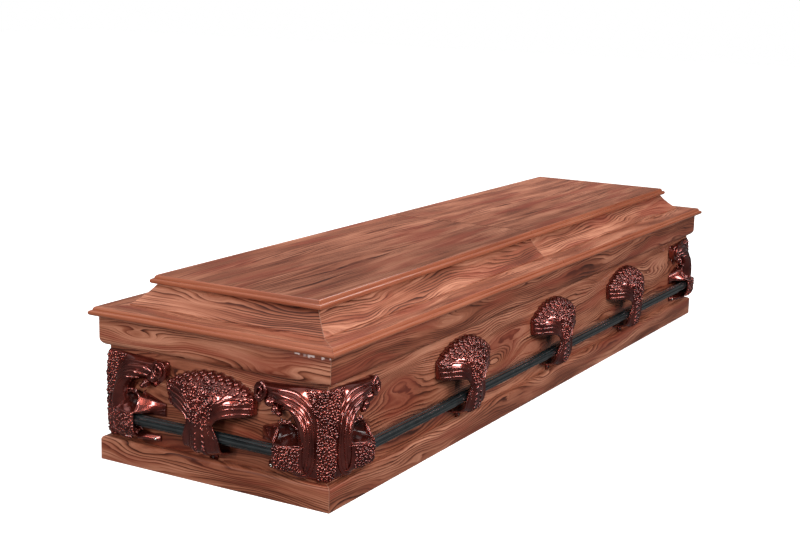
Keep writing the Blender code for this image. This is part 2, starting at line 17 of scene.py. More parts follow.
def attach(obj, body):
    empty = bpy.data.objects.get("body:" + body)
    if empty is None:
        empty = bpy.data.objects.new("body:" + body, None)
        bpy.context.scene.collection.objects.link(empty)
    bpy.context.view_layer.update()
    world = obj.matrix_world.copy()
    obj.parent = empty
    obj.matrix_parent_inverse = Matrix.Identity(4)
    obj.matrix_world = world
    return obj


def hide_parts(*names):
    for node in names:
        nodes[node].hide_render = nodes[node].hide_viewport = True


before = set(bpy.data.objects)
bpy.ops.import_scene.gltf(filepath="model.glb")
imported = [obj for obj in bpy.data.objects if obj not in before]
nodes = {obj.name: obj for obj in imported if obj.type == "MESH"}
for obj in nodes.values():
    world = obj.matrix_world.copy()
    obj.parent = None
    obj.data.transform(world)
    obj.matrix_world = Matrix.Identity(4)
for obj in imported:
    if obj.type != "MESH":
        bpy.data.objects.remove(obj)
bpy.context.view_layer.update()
print("packed pieces:", len(nodes))

# %% [markdown]
# ## Small helpers
#
# A few steps come back all through the lesson: filling a colour ramp, linking sockets, adding
# an object to the scene, and making a mesh whose faces all look outwards. They are written
# once here, and the later cells stay short.


# %% Helpers for ramps, links, objects and meshes
def fill_ramp(ramp, stops):
    """Sets the stops of a ramp. Each stop is (place, colour)."""
    while len(ramp.elements) < len(stops):
        ramp.elements.new(0.5)
    for element, (place, colour) in zip(ramp.elements, stops):
        element.position = place
        element.color = (*colour, 1.0)


def wire(tree, *links):
    """Links pairs of sockets."""
    for source, target in links:
        tree.links.new(source, target)


def linked(name, data):
    """A new object in the scene."""
    made = bpy.data.objects.new(name, data)
    bpy.context.scene.collection.objects.link(made)
    return made


def new_mesh(name, points, faces=(), edges=()):
    mesh = bpy.data.meshes.new(name)
    mesh.from_pydata(points, edges, faces)
    return mesh


def outward(mesh, weld=0.0, rounding=0.0):
    """The mesh with its faces turned outwards, its doubles welded and its edges rounded."""
    body = bmesh.new()
    body.from_mesh(mesh)
    if weld:
        bmesh.ops.remove_doubles(body, verts=body.verts, dist=weld)
    bmesh.ops.recalc_face_normals(body, faces=body.faces)
    if rounding:
        soft = {"segments": 3, "profile": 0.5, "affect": "EDGES", "clamp_overlap": True}
        bmesh.ops.bevel(body, geom=body.edges[:], offset=rounding, **soft)
    body.to_mesh(mesh)
    body.free()
    return mesh


def triangles(mesh):
    return sum(len(face.vertices) - 2 for face in mesh.polygons)


print("helpers ready")

# %% [markdown]
# ## The camera
#
# A product photograph is easiest to match when the camera stands where the photographer
# stood. The place and the turn here were worked out from the coffin's straight edges, and
# the lens is a short telephoto, so the far end shrinks only a little.

# %% The camera
CAMERA_PLACE = Vector((-3.16546884, -1.67455085, 1.00214))
CAMERA_HEADING = math.radians(59.89995)
CAMERA_DROP = math.radians(11.536434)
CAMERA_ROLL = math.radians(1.35515)
LENS = 64.9876


def add_camera():
    forward = Vector(
        (
            math.sin(CAMERA_HEADING) * math.cos(CAMERA_DROP),
            math.cos(CAMERA_HEADING) * math.cos(CAMERA_DROP),
            -math.sin(CAMERA_DROP),
        )
    )
    right = Vector((math.cos(CAMERA_HEADING), -math.sin(CAMERA_HEADING), 0.0))
    up = right.cross(forward)
    tilted_right = math.cos(CAMERA_ROLL) * right + math.sin(CAMERA_ROLL) * up
    tilted_up = math.cos(CAMERA_ROLL) * up - math.sin(CAMERA_ROLL) * right
    data = bpy.data.cameras.new("camera")
    data.sensor_width = 36.0
    data.lens = LENS
    camera = linked("camera", data)
    turn = Matrix((tilted_right, tilted_up, -forward)).transposed().to_4x4()
    camera.matrix_world = Matrix.Translation(CAMERA_PLACE) @ turn
    bpy.context.scene.camera = camera


add_camera()
print("camera at", tuple(round(value, 2) for value in CAMERA_PLACE))

# %% [markdown]
# ## Writing shader maths as plain sums
#
# A node tree is hard to read as a list of links. `Value` wraps one socket and adds a Math node
# for each sign, so a grain pattern can be written as a formula. `Finish` owns the tree and
# makes every other node through one method.


# %% Small helpers for node trees
class Value:
    """A number that changes over a surface."""

    def __init__(self, finish, socket):
        self.finish = finish
        self.socket = socket

    def __add__(self, other):
        return self.finish.maths("ADD", self, other)

    __radd__ = __add__

    def __sub__(self, other):
        return self.finish.maths("SUBTRACT", self, other)

    def __rsub__(self, other):
        return self.finish.maths("SUBTRACT", other, self)

    def __mul__(self, other):
        return self.finish.maths("MULTIPLY", self, other)

    __rmul__ = __mul__

    def __truediv__(self, other):
        return self.finish.maths("DIVIDE", self, other)

    def __pow__(self, other):
        return self.finish.maths("POWER", self, other)


class Finish:
    """One material and the nodes in it."""

    def __init__(self, name):
        self.material = bpy.data.materials.new(name)
        self.material.use_nodes = True
        self.tree = self.material.node_tree
        self.shader = self.tree.nodes["Principled BSDF"]

    def node(self, kind, settings=None, *values, out=0, **named):
        made = self.tree.nodes.new(kind)
        for name, value in (settings or {}).items():
            setattr(made, name, value)
        pairs = [(made.inputs[place], value) for place, value in enumerate(values)]
        pairs += [(made.inputs[name.replace("_", " ")], value) for name, value in named.items()]
        for socket, value in pairs:
            self.feed(socket, value)
        return Value(self, made.outputs[out])

    def feed(self, socket, value):
        if isinstance(value, Value):
            self.tree.links.new(value.socket, socket)
        elif value is not None:
            socket.default_value = value

    def maths(self, operation, *values):
        return self.node("ShaderNodeMath", {"operation": operation}, *values)

    def point(self, x, y, z=0.0):
        return self.node("ShaderNodeCombineXYZ", None, x, y, z)

    def noise(self, place, detail=2.0, roughness=0.5):
        choice = {"noise_dimensions": "3D"}
        inputs = {"Vector": place, "Scale": 1.0, "Detail": detail, "Roughness": roughness}
        return self.node("ShaderNodeTexNoise", choice, **inputs)

    def object_place(self):
        return self.node("ShaderNodeTexCoord", None, out=3)

    def object_noise(self, scale, detail):
        """Noise on object coordinates, with about the given number of clouds in a metre."""
        choice = {"operation": "SCALE"}
        scaled = self.node("ShaderNodeVectorMath", choice, self.object_place(), Scale=scale)
        return self.noise(scaled, detail)

    def map_parts(self, name="board"):
        """The two numbers of one of a board's maps."""
        parts = self.tree.nodes.new("ShaderNodeSeparateXYZ")
        self.feed(parts.inputs[0], self.node("ShaderNodeUVMap", {"uv_map": name}))
        return Value(self, parts.outputs[0]), Value(self, parts.outputs[1])

    def clamped(self, value, low, high):
        choice = {"interpolation_type": "SMOOTHSTEP"}
        return self.node("ShaderNodeMapRange", choice, value, low, high, 0.0, 1.0)

    def ramp(self, value, *stops):
        made = self.tree.nodes.new("ShaderNodeValToRGB")
        fill_ramp(made.color_ramp, stops)
        self.feed(made.inputs[0], value)
        return Value(self, made.outputs[0])

    def mix(self, share, first, second):
        made = self.tree.nodes.new("ShaderNodeMix")
        made.data_type = "RGBA"
        for place, value in ((0, share), (6, first), (7, second)):
            value = (*value, 1.0) if isinstance(value, tuple) else value
            self.feed(made.inputs[place], value)
        return Value(self, made.outputs[2])

    def bump(self, height, distance, strength=1.0):
        return self.node("ShaderNodeBump", None, strength, distance, Height=height)

    def set(self, **inputs):
        """Feeds inputs of the shader. A constant goes on the shader's own socket."""
        for name, value in inputs.items():
            value = (*value, 1.0) if isinstance(value, tuple) else value
            self.feed(self.shader.inputs[name.replace("_", " ")], value)


print("node helpers ready")

# %% [markdown]
# ## The walnut foil
#
# Real growth rings are layers in a tree, and a board cuts through them. The cut shows level
# lines, as on a map: straight lines far from the heart, long arches and eyes near a branch.
# So the grain here is drawn as level lines of a slow, stretched noise. A saw-tooth of that
# height gives the soft light wood that darkens towards a thin dark line. Fine fibres, pores
# and broad clouds of colour lie over it. Each board carries its own map: the first number
# runs along the board and the second round its moulding, both in metres.

# %% Sizes of the grain
RING_STEP = 0.0064
FOIL_DARK = (0.045, 0.010, 0.005)
FOIL_BROWN = (0.150, 0.038, 0.018)
FOIL_MIDDLE = (0.300, 0.098, 0.052)
FOIL_LIGHT = (0.530, 0.226, 0.138)
FOIL_RED = (0.235, 0.042, 0.022)
FOIL_STOPS = ((0.08, FOIL_DARK), (0.36, FOIL_BROWN), (0.60, FOIL_MIDDLE), (0.92, FOIL_LIGHT))
ARRIS_PALE, ARRIS_SHARE, ARRIS_WIDTH = (0.62, 0.36, 0.26), 0.30, 0.0011
KNOTS = []


def ring_height(finish, u, v, wander, stretch):
    """The slow height whose level lines are the rings. Each knot is a hill or a dip in it."""
    slow = finish.noise(finish.point(u * stretch, v * 12.0), 1.5, 0.45)
    small = finish.noise(finish.point(u * stretch * 3.5, v * 45.0, 3.0), 2.0, 0.5)
    height = v + (slow - 0.5) * wander + (small - 0.5) * 0.011
    for along, across, long, wide, lift in KNOTS:
        far = ((u - along) / long) ** 2.0 + ((v - across) / wide) ** 2.0
        height = height + lift * finish.maths("EXPONENT", far * -1.0)
    return height


def foil(name, wander, stretch, contrast, cloud, light=1.0):
    """A printed walnut foil. Wander is how far the rings leave a straight line, in metres.

    Each noise has its own scale along the board and across it, in clouds to a metre. The third
    number of a point only keeps one noise from repeating another.
    """
    finish = Finish(name)
    u, v = finish.map_parts()
    height = ring_height(finish, u, v, wander, stretch)
    turns = height / RING_STEP
    saw = finish.maths("FRACT", turns)
    late = saw**3.0 * (1.0 - finish.clamped(saw, 0.90, 1.0))
    uneven = finish.noise(finish.point(u * 4.2, v * 30.0, 5.0), 2.0)
    ring = late * (0.16 + finish.clamped(uneven, 0.34, 0.58) * 1.3)
    fibre = finish.noise(finish.point(u * 16.0, height * 800.0, 7.0), 3.0, 0.65)
    streak = finish.noise(finish.point(u * 2.4, height * 115.0, 9.0), 4.0, 0.68)
    broad = finish.noise(finish.point(u * 2.4, height * 17.0, 11.0), 3.0, 0.58)
    tone = 0.70 * light - ring * contrast + (fibre - 0.5) * 0.34 + (streak - 0.5) * 1.05
    colour = finish.ramp(tone + (broad - 0.5) * cloud, *FOIL_STOPS)
    red = finish.noise(finish.point(u * 3.4, height * 24.0, 13.0), 3.0)
    colour = finish.mix(finish.clamped(red, 0.48, 0.68) * 0.6, colour, FOIL_RED)
    pores = finish.noise(finish.point(u * 60.0, v * 1500.0, 15.0), 1.0)
    pore = finish.clamped(pores, 0.66, 0.74)
    colour = finish.mix(pore * 0.5, colour, FOIL_DARK)
    return finish, u, v, colour, (fibre, ring, pore)


def finish_foil(finish, colour, parts, roughness=0.30):
    fibre, ring, pore = parts
    relief = fibre * 0.5 - ring * 0.35 - pore * 0.6
    finish.set(
        Base_Color=colour,
        Roughness=roughness + fibre * 0.10 + pore * 0.12,
        Normal=finish.bump(relief, 0.0002, 0.35),
        Coat_Weight=0.10,
        Coat_Roughness=0.12,
        Specular_IOR_Level=0.35,
    )
    return finish.material


def light_arris(finish, colour):
    """The pale line of cut foil along both mitres of a board."""
    near = finish.maths("MINIMUM", *finish.map_parts("ends"))
    worn = 1.0 - finish.clamped(near, ARRIS_WIDTH * 0.5, ARRIS_WIDTH)
    return finish.mix(worn * ARRIS_SHARE, colour, ARRIS_PALE)


print("foil colours:", len(FOIL_STOPS))

# %% [markdown]
# ## Mouldings
#
# A moulding is one outline pushed along a side and cut at 45 degrees where it meets the next.
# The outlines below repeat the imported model's sizes. They are written with real arcs, and
# every sharp corner gets a small radius, because a routed board never has a knife edge and
# it is the small radius that catches the light.

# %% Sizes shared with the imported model
BODY_LENGTH, BODY_WIDTH = 1.980, 0.530
WALL = 0.018
PLINTH_HEIGHT, PLINTH_OUT, PLINTH_ROUND = 0.050, 0.016, 0.008
PANEL_HEIGHT, FRIEZE_HEIGHT, FRIEZE_OUT, FRIEZE_ROUND = 0.193, 0.0625, 0.016, 0.016
LID_BOARD, LID_SEAM, SEAM_GAP = 0.018, 0.017, 0.0012
RIM_OUT, RIM_IN = 0.032, 0.052
NOSE_HEIGHT, NOSE_DEPTH, LIP, EDGE_WIDTH = 0.0105, 0.005, 0.002, 0.011
SLOPE_FOOT, SLOPE_HEIGHT, SLOPE_RUN = 0.028, 0.0435, 0.0405
SLOPE_BOARD, SLOPE_FILLET, COVE_SAG, TOP_OVER = 0.024, 0.0025, 0.0025, 0.012
GAP, MITRE_GAP = 0.0003, 0.00025
FRIEZE_BOTTOM = PLINTH_HEIGHT + PANEL_HEIGHT
BOX_TOP = FRIEZE_BOTTOM + FRIEZE_HEIGHT
RIM_BOTTOM = BOX_TOP + GAP
RIM_TOP = RIM_BOTTOM + LID_BOARD
SLOPE_TOP = RIM_TOP + GAP + SLOPE_HEIGHT
PANEL_BOTTOM = SLOPE_TOP + GAP
ARRIS, LID_ARRIS = 0.0007, 0.0004


def arc(start_angle, end_angle, steps):
    angles = [start_angle + (end_angle - start_angle) * k / steps for k in range(steps + 1)]
    return [(math.cos(math.radians(a)), math.sin(math.radians(a))) for a in angles]


def blend(start, end, share):
    return start + (end - start) * share


def smooth(low, high, value):
    share = min(max((value - low) / (high - low), 0.0), 1.0)
    return share * share * (3.0 - 2.0 * share)


def softened(outline, radius=ARRIS):
    """The outline with each sharp corner cut to a small round. Each point keeps its mark."""
    rounded = []
    count = len(outline)
    for k, (out, height, mark) in enumerate(outline):
        here = Vector((out, height))
        before = Vector(outline[k - 1][:2]) - here
        after = Vector(outline[(k + 1) % count][:2]) - here
        room = min(before.length, after.length)
        bend = math.degrees(before.angle(after)) if room > 0 else 180.0
        if bend > 150.0 or room < radius * 2.2:
            rounded.append((out, height, mark))
            continue
        first, last = here + before.normalized() * radius, here + after.normalized() * radius
        for share in (0.0, 0.5, 1.0):
            point = (1 - share) ** 2 * first + 2 * share * (1 - share) * here + share**2 * last
            rounded.append((point.x, point.y, mark))
    return rounded


def marked(points, mark=0):
    return [(out, height, mark) for out, height in points]


def plinth_outline():
    crest = [
        (PLINTH_OUT - PLINTH_ROUND * (1.0 - c), PLINTH_HEIGHT - PLINTH_ROUND * (1.0 - s))
        for c, s in arc(0, 90, 8)
    ]
    return softened(marked([(GAP, 0.0), (PLINTH_OUT, 0.0), *crest, (GAP, PLINTH_HEIGHT)]))


def wall_outline():
    return softened(marked([(-WALL, 0.0), (0.0, 0.0), (0.0, BOX_TOP), (-WALL, BOX_TOP)]))


def frieze_outline():
    belly = [
        (GAP + (FRIEZE_OUT - GAP) * s, FRIEZE_BOTTOM + FRIEZE_ROUND * (1.0 - c))
        for c, s in arc(0, 90, 12)
    ]
    return softened(marked([*belly, (FRIEZE_OUT, BOX_TOP), (GAP, BOX_TOP)]))


def routed_edge(tip, bottom):
    """A round nose, a small lip and a bevel up to the flat, all marked as stained edge."""
    centre = bottom + NOSE_HEIGHT / 2
    nose = [
        (tip - NOSE_DEPTH * (1.0 - c), centre + NOSE_HEIGHT / 2 * s) for c, s in arc(-90, 90, 12)
    ]
    lip = (tip - NOSE_DEPTH - LIP, bottom + NOSE_HEIGHT)
    bevel = []
    for share in (0.25, 0.5, 0.75):
        swell = 0.0012 * math.sin(math.pi * share)
        bevel.append(
            (
                blend(lip[0], tip - EDGE_WIDTH, share) + swell,
                blend(lip[1], bottom + LID_BOARD, share) + swell * 0.4,
            )
        )
    return marked([*nose, lip, *bevel], 1) + marked([(tip - EDGE_WIDTH, bottom + LID_BOARD)])


def rim_outline():
    ends = marked([(-RIM_IN, RIM_TOP), (-RIM_IN, RIM_BOTTOM)])
    return softened([*routed_edge(RIM_OUT, RIM_BOTTOM), *ends], LID_ARRIS)


def slope_outline():
    low, crown = RIM_TOP + GAP, -SLOPE_FOOT - SLOPE_RUN
    face = [(-SLOPE_FOOT, low), (-SLOPE_FOOT - GAP, low + SLOPE_FILLET)]
    steps = 12
    for k in range(1, steps + 1):
        share = k / steps
        sag = COVE_SAG * 4.0 * share * (1.0 - share) * math.sqrt(0.5)
        face.append(
            (
                blend(-SLOPE_FOOT - GAP, crown, share) - sag,
                blend(low + SLOPE_FILLET, SLOPE_TOP, share) - sag,
            )
        )
    return marked([*face, (crown - SLOPE_BOARD, SLOPE_TOP), (-SLOPE_FOOT - SLOPE_BOARD, low)])


print("lid top in mm:", round((PANEL_BOTTOM + LID_BOARD) * 1000, 1))

# %% [markdown]
# ## Turning outlines into boards
#
# The same helper makes every board. It keeps the true distance round the outline as the
# second number of the board's map, so the grain turns over a moulding as real foil does.
# Each board also starts its map at a place of its own, so no two boards share a pattern.

# %% Board meshes
MAP_STEP = 7.0
FAR_FROM_MITRE = (1.0, 1.0)
SHARP_BEND = math.radians(38.0)
board_count = 0


def close_board(name, points, cells, materials):
    """A board. Each cell is a face's corners, their maps, their mitre distances and its mark."""
    mesh = new_mesh(name, points, [cell[0] for cell in cells])
    board = mesh.uv_layers.new(name="board")
    edge = mesh.uv_layers.new(name="ends")
    for face, (_, uvs, distances, mark) in zip(mesh.polygons, cells):
        face.material_index = mark
        for loop, uv, distance in zip(face.loop_indices, uvs, distances):
            board.data[loop].uv = uv
            edge.data[loop].uv = distance
    for material in materials:
        mesh.materials.append(material)
    outward(mesh)
    mesh.shade_smooth()
    mesh.set_sharp_from_angle(angle=SHARP_BEND)
    return linked(name, mesh)


def distances_round(outline):
    around = [0.0]
    for before, after in zip(outline, outline[1:]):
        around.append(around[-1] + math.dist(before[:2], after[:2]))
    return around


def next_offset():
    global board_count
    board_count += 1
    return MAP_STEP * (board_count - 1)


print("a bend sharper than", round(math.degrees(SHARP_BEND)), "degrees stays sharp")


# %% One board along a side
def run_board(name, outline, side, materials, start=None, end=None, shift=None):
    """A board of one outline along a side, mitred where no cut position is given."""
    along_x = side in ("front", "back")
    half_run = (BODY_LENGTH if along_x else BODY_WIDTH) / 2
    half_across = (BODY_WIDTH if along_x else BODY_LENGTH) / 2
    away = -1.0 if side in ("front", "foot") else 1.0
    own_offset = next_offset()
    offset = own_offset if shift is None else shift
    around = distances_round([*outline, outline[0]])
    points, reach = [], []
    for out, height, _ in outline:
        mitre = half_run + out - MITRE_GAP
        reach.append((-mitre if start is None else start, mitre if end is None else end))
        across = away * (half_across + out)
        for place in reach[-1]:
            points.append((place, across, height) if along_x else (across, place, height))
    count = len(outline)
    cells = []
    for k in range(count):
        after = (k + 1) % count
        corners = (2 * k, 2 * after, 2 * after + 1, 2 * k + 1)
        rows = ((k, k, 0), (after, k + 1, 0), (after, k + 1, 1), (k, k, 1))
        uvs = [(offset + reach[row][far], around[turn]) for row, turn, far in rows]
        lengths = [(reach[row][1] - reach[row][0], far) for row, _, far in rows]
        ends = [(length, 0.0) if far else (0.0, length) for length, far in lengths]
        cells.append((corners, uvs, ends, min(outline[k][2], 1) if len(materials) > 1 else 0))
    cut = [(offset + 3.0 + out, height) for out, height, _ in outline]
    for far in (0, 1):
        corners = tuple(2 * k + far for k in range(count))
        cells.append((corners, cut, [FAR_FROM_MITRE] * count, 0))
    return close_board(name, points, cells, materials)


print("mitre gap in mm:", MITRE_GAP * 1000)


# %% The lid's top panel
def lid_panel(name, low_x, high_x, low_is_seam, materials):
    """The top panel of one lid half: routed on three edges and cut square at the seam."""
    tip = -SLOPE_FOOT - SLOPE_RUN + TOP_OVER
    offset = next_offset()
    edge = [(tip - 0.03, PANEL_BOTTOM, 0), *routed_edge(tip, PANEL_BOTTOM)]
    outline = softened(edge, LID_ARRIS)[3:]
    around = distances_round(outline)
    points = []
    for out, height, _ in outline:
        half, inset = BODY_WIDTH / 2 + out, out - tip
        low = low_x if low_is_seam else low_x - inset
        high = high_x + inset if low_is_seam else high_x
        corners = ((low, -half), (high, -half), (high, half), (low, half))
        points += [(x, y, height) for x, y in corners]
    flat = [(offset + x, y) for x, y, _ in points]
    top = 4 * (len(outline) - 1)
    away = [FAR_FROM_MITRE] * 4
    cells = [((3, 2, 1, 0), [flat[k] for k in (3, 2, 1, 0)], away, 0)]
    seam = 3 if low_is_seam else 1
    for level in range(len(outline) - 1):
        for k in range(4):
            after = (k + 1) % 4
            rows = ((k, level), (after, level), (after, level + 1), (k, level + 1))
            corners = tuple(4 * row + corner for corner, row in rows)
            axis = 0 if k in (0, 2) else 1
            run = [points[corner][axis] for corner in corners]
            uvs = [(offset + 1.5 + r, around[row]) for r, (_, row) in zip(run, rows)]
            cells.append((corners, uvs, away, 0 if k == seam else outline[level][2]))
    cells.append(((top, top + 1, top + 2, top + 3), flat[top : top + 4], away, 0))
    return close_board(name, points, cells, materials)


print("map step:", MAP_STEP)

# %% [markdown]
# ## The foils of the box and the lid
#
# The long top panel has quiet, nearly straight grain. The slopes, frieze and walls have
# livelier sheets with arches and a few eyes. The routed edges are not foil at all: they are
# stained and lacquered, so they are a plain orange brown with only a hint of grain. A chip
# under the rim at the near corner shows the pale core of the board.

# %% Materials of the boards
SIDES = ("front", "back", "foot", "head")
CHIP_PALE, CHIP_RUN, CHIP_DEPTH = (0.80, 0.62, 0.58), (0.085, 0.10), (0.0088, 0.0072)
STAIN_STOPS = (
    (0.30, (0.200, 0.052, 0.024)), (0.50, (0.300, 0.080, 0.036)), (0.72, (0.40, 0.140, 0.074)),
)
map_start = {}
for place, (kind, side) in enumerate((k, s) for k in ("plinth", "wall", "frieze") for s in SIDES):
    map_start[kind, side] = 100.0 + MAP_STEP * place
KNOTS += [
    (map_start["wall", "front"] - 0.30, 0.150, 0.10, 0.030, 0.050),
    (map_start["wall", "front"] - 0.72, 0.210, 0.09, 0.026, -0.045),
    (map_start["wall", "foot"] + 0.06, 0.215, 0.06, 0.022, 0.040),
    (map_start["frieze", "front"] - 0.55, 0.045, 0.11, 0.020, 0.036),
    (map_start["frieze", "foot"] + 0.17, 0.042, 0.07, 0.014, 0.030),
]


def chipped(finish, u, v, colour):
    """Pale chips along the frieze's upper edge, near the front corner of the foot end."""
    start = map_start["frieze", "foot"] - BODY_WIDTH / 2 - FRIEZE_OUT
    top = 0.5 * math.pi * FRIEZE_ROUND + FRIEZE_HEIGHT - FRIEZE_ROUND
    before_end = 1.0 - finish.clamped(u, start + CHIP_RUN[0], start + CHIP_RUN[1])
    near = before_end * finish.clamped(u, start - 0.01, start)
    ragged = finish.noise(finish.point(u * 70.0, v * 160.0, 21.0), 2.0)
    below = v + (ragged - 0.5) * 0.012
    depth = finish.clamped(below, top - CHIP_DEPTH[0], top - CHIP_DEPTH[1])
    broken = finish.clamped(finish.noise(finish.point(u * 45.0, 0.0, 23.0), 1.0), 0.47, 0.53)
    return finish.mix(near * depth * broken, colour, CHIP_PALE)


def make_foils():
    top, _, _, colour, parts = foil("foil_top", 0.080, 1.3, 0.66, 0.85, 0.98)
    top_foil = finish_foil(top, colour, parts, 0.34)
    boards = {}
    for tone, light in (("deep", 0.86), ("middle", 0.98), ("light", 1.04)):
        board, u, v, colour, parts = foil(f"foil_{tone}", 0.110, 2.8, 0.66, 1.25, light)
        colour = light_arris(board, chipped(board, u, v, colour))
        boards[tone] = finish_foil(board, colour, parts)
    edge = Finish("stained_edge")
    u, v = edge.map_parts()
    streak = edge.noise(edge.point(u * 5.0, v * 320.0, 2.0), 3.0, 0.6)
    broad = edge.noise(edge.point(u * 2.6, v * 20.0, 4.0), 2.0)
    edge.set(
        Base_Color=edge.ramp(streak * 0.5 + broad * 0.5, *STAIN_STOPS),
        Roughness=0.24 + streak * 0.08,
        Normal=edge.bump(streak, 0.0002, 0.2),
        Coat_Weight=0.5,
        Coat_Roughness=0.08,
    )
    return top_foil, boards, edge.material


top_foil, foils, stained_edge = make_foils()
board_foil = foils["middle"]
BOARD_TONES = {("frieze", "front"): "deep", ("wall", "front"): "light", ("wall", "foot"): "deep"}
print("board finishes:", top_foil.name, *foils, stained_edge.name)


def ride_for(piece, node):
    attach(piece, "root")
    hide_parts(node)
    return piece


# %% The boards of the box
outlines = {"plinth": plinth_outline(), "wall": wall_outline(), "frieze": frieze_outline()}
for kind, outline in outlines.items():
    for side in SIDES:
        material = foils[BOARD_TONES.get((kind, side), "middle")]
        start = map_start[kind, side]
        piece = run_board(f"{kind}_board_{side}", outline, side, [material], shift=start)
        ride_for(piece, f"{kind}_{side}")
box_boards = board_count
print("box boards:", box_boards)

# %% The boards of the lid
halves = {"foot": (None, LID_SEAM - SEAM_GAP / 2), "head": (LID_SEAM + SEAM_GAP / 2, None)}
for kind, outline, materials in (
    ("rim", rim_outline(), [board_foil, stained_edge]),
    ("slope", slope_outline(), [board_foil]),
):
    for half, (start, end) in halves.items():
        for side in ("front", "back"):
            piece = run_board(f"{half}_{kind}_board_{side}", outline, side, materials, start, end)
            ride_for(piece, f"{half}_lid_{kind}_{side}")
        piece = run_board(f"{half}_{kind}_board_end", outline, half, materials)
        ride_for(piece, f"{half}_lid_{kind}_end")
panel_tip = BODY_LENGTH / 2 - SLOPE_FOOT - SLOPE_RUN + TOP_OVER
for half, low, high in (
    ("foot", -panel_tip, halves["foot"][1]),
    ("head", halves["head"][0], panel_tip),
):
    finishes = [top_foil, stained_edge]
    panel = lid_panel(f"{half}_top_board", low, high, half == "head", finishes)
    ride_for(panel, f"{half}_lid_top")
print("lid boards:", board_count - box_boards)

# %% [markdown]
# ## Repeating small shapes with Geometry Nodes
#
# Leaves, rosettes and screws are small shapes set many times on a surface. One tree does all
# of them. It takes a cloud of points that carry a turn and a size, puts the small shape on
# each, realizes the copies and gives them a material. A second tree sweeps a round rib along
# a path whose points carry a radius, and a third sweeps a drawn outline along a straight
# path. All three end as plain meshes.


# %% The three node trees
def plain_tree(name, inputs):
    """An empty geometry tree with its geometry sockets and the named inputs."""
    tree = bpy.data.node_groups.new(name, "GeometryNodeTree")
    sockets = [("Geometry", "INPUT", "NodeSocketGeometry")]
    sockets += [(label, "INPUT", kind) for label, kind in inputs]
    sockets += [("Geometry", "OUTPUT", "NodeSocketGeometry")]
    for label, way, kind in sockets:
        tree.interface.new_socket(name=label, in_out=way, socket_type=kind)
    return tree, tree.nodes.new("NodeGroupInput").outputs, tree.nodes.new("NodeGroupOutput")


def attribute(tree, name, kind):
    made = tree.nodes.new("GeometryNodeInputNamedAttribute")
    made.data_type = kind
    made.inputs["Name"].default_value = name
    return made.outputs["Attribute"]


def realize(tree, geometry, material, group_out):
    whole = tree.nodes.new("GeometryNodeRealizeInstances")
    coat = tree.nodes.new("GeometryNodeSetMaterial")
    wire(
        tree,
        (geometry, whole.inputs[0]),
        (whole.outputs[0], coat.inputs["Geometry"]),
        (material, coat.inputs["Material"]),
        (coat.outputs[0], group_out.inputs[0]),
    )


print("tree helpers ready")


# %% Shapes set on points
def scatter_tree():
    inputs = (("Shape", "NodeSocketObject"), ("Material", "NodeSocketMaterial"))
    tree, given, group_out = plain_tree("set_on_points", inputs)
    shape = tree.nodes.new("GeometryNodeObjectInfo")
    copies = tree.nodes.new("GeometryNodeInstanceOnPoints")
    wire(
        tree,
        (given["Shape"], shape.inputs["Object"]),
        (given["Geometry"], copies.inputs["Points"]),
        (shape.outputs["Geometry"], copies.inputs["Instance"]),
        (attribute(tree, "turn", "FLOAT_VECTOR"), copies.inputs["Rotation"]),
        (attribute(tree, "size", "FLOAT_VECTOR"), copies.inputs["Scale"]),
    )
    realize(tree, copies.outputs[0], given["Material"], group_out)
    return tree


def rib_tree():
    inputs = (("Sides", "NodeSocketInt"), ("Material", "NodeSocketMaterial"))
    tree, given, group_out = plain_tree("rib_on_path", inputs)
    path = tree.nodes.new("GeometryNodeMeshToCurve")
    radius = tree.nodes.new("GeometryNodeSetCurveRadius")
    ring = tree.nodes.new("GeometryNodeCurvePrimitiveCircle")
    sweep = tree.nodes.new("GeometryNodeCurveToMesh")
    ring.inputs["Radius"].default_value = 1.0
    sweep.inputs["Fill Caps"].default_value = True
    wire(
        tree,
        (given["Geometry"], path.inputs["Mesh"]),
        (path.outputs["Curve"], radius.inputs["Curve"]),
        (attribute(tree, "thick", "FLOAT"), radius.inputs["Radius"]),
        (given["Sides"], ring.inputs["Resolution"]),
        (radius.outputs["Curve"], sweep.inputs["Curve"]),
        (ring.outputs["Curve"], sweep.inputs["Profile Curve"]),
    )
    if "Scale" in sweep.inputs:
        wire(tree, (attribute(tree, "thick", "FLOAT"), sweep.inputs["Scale"]))
    realize(tree, sweep.outputs[0], given["Material"], group_out)
    return tree


def sweep_tree():
    inputs = (("Outline", "NodeSocketObject"), ("Material", "NodeSocketMaterial"))
    tree, given, group_out = plain_tree("outline_on_path", inputs)
    path = tree.nodes.new("GeometryNodeMeshToCurve")
    outline = tree.nodes.new("GeometryNodeObjectInfo")
    ring = tree.nodes.new("GeometryNodeMeshToCurve")
    sweep = tree.nodes.new("GeometryNodeCurveToMesh")
    sweep.inputs["Fill Caps"].default_value = True
    wire(
        tree,
        (given["Geometry"], path.inputs["Mesh"]),
        (given["Outline"], outline.inputs["Object"]),
        (outline.outputs["Geometry"], ring.inputs["Mesh"]),
        (path.outputs["Curve"], sweep.inputs["Curve"]),
        (ring.outputs["Curve"], sweep.inputs["Profile Curve"]),
    )
    realize(tree, sweep.outputs[0], given["Material"], group_out)
    return tree


SCATTER, RIBS, SWEEP = scatter_tree(), rib_tree(), sweep_tree()


print("node trees:", SCATTER.name, RIBS.name, SWEEP.name)


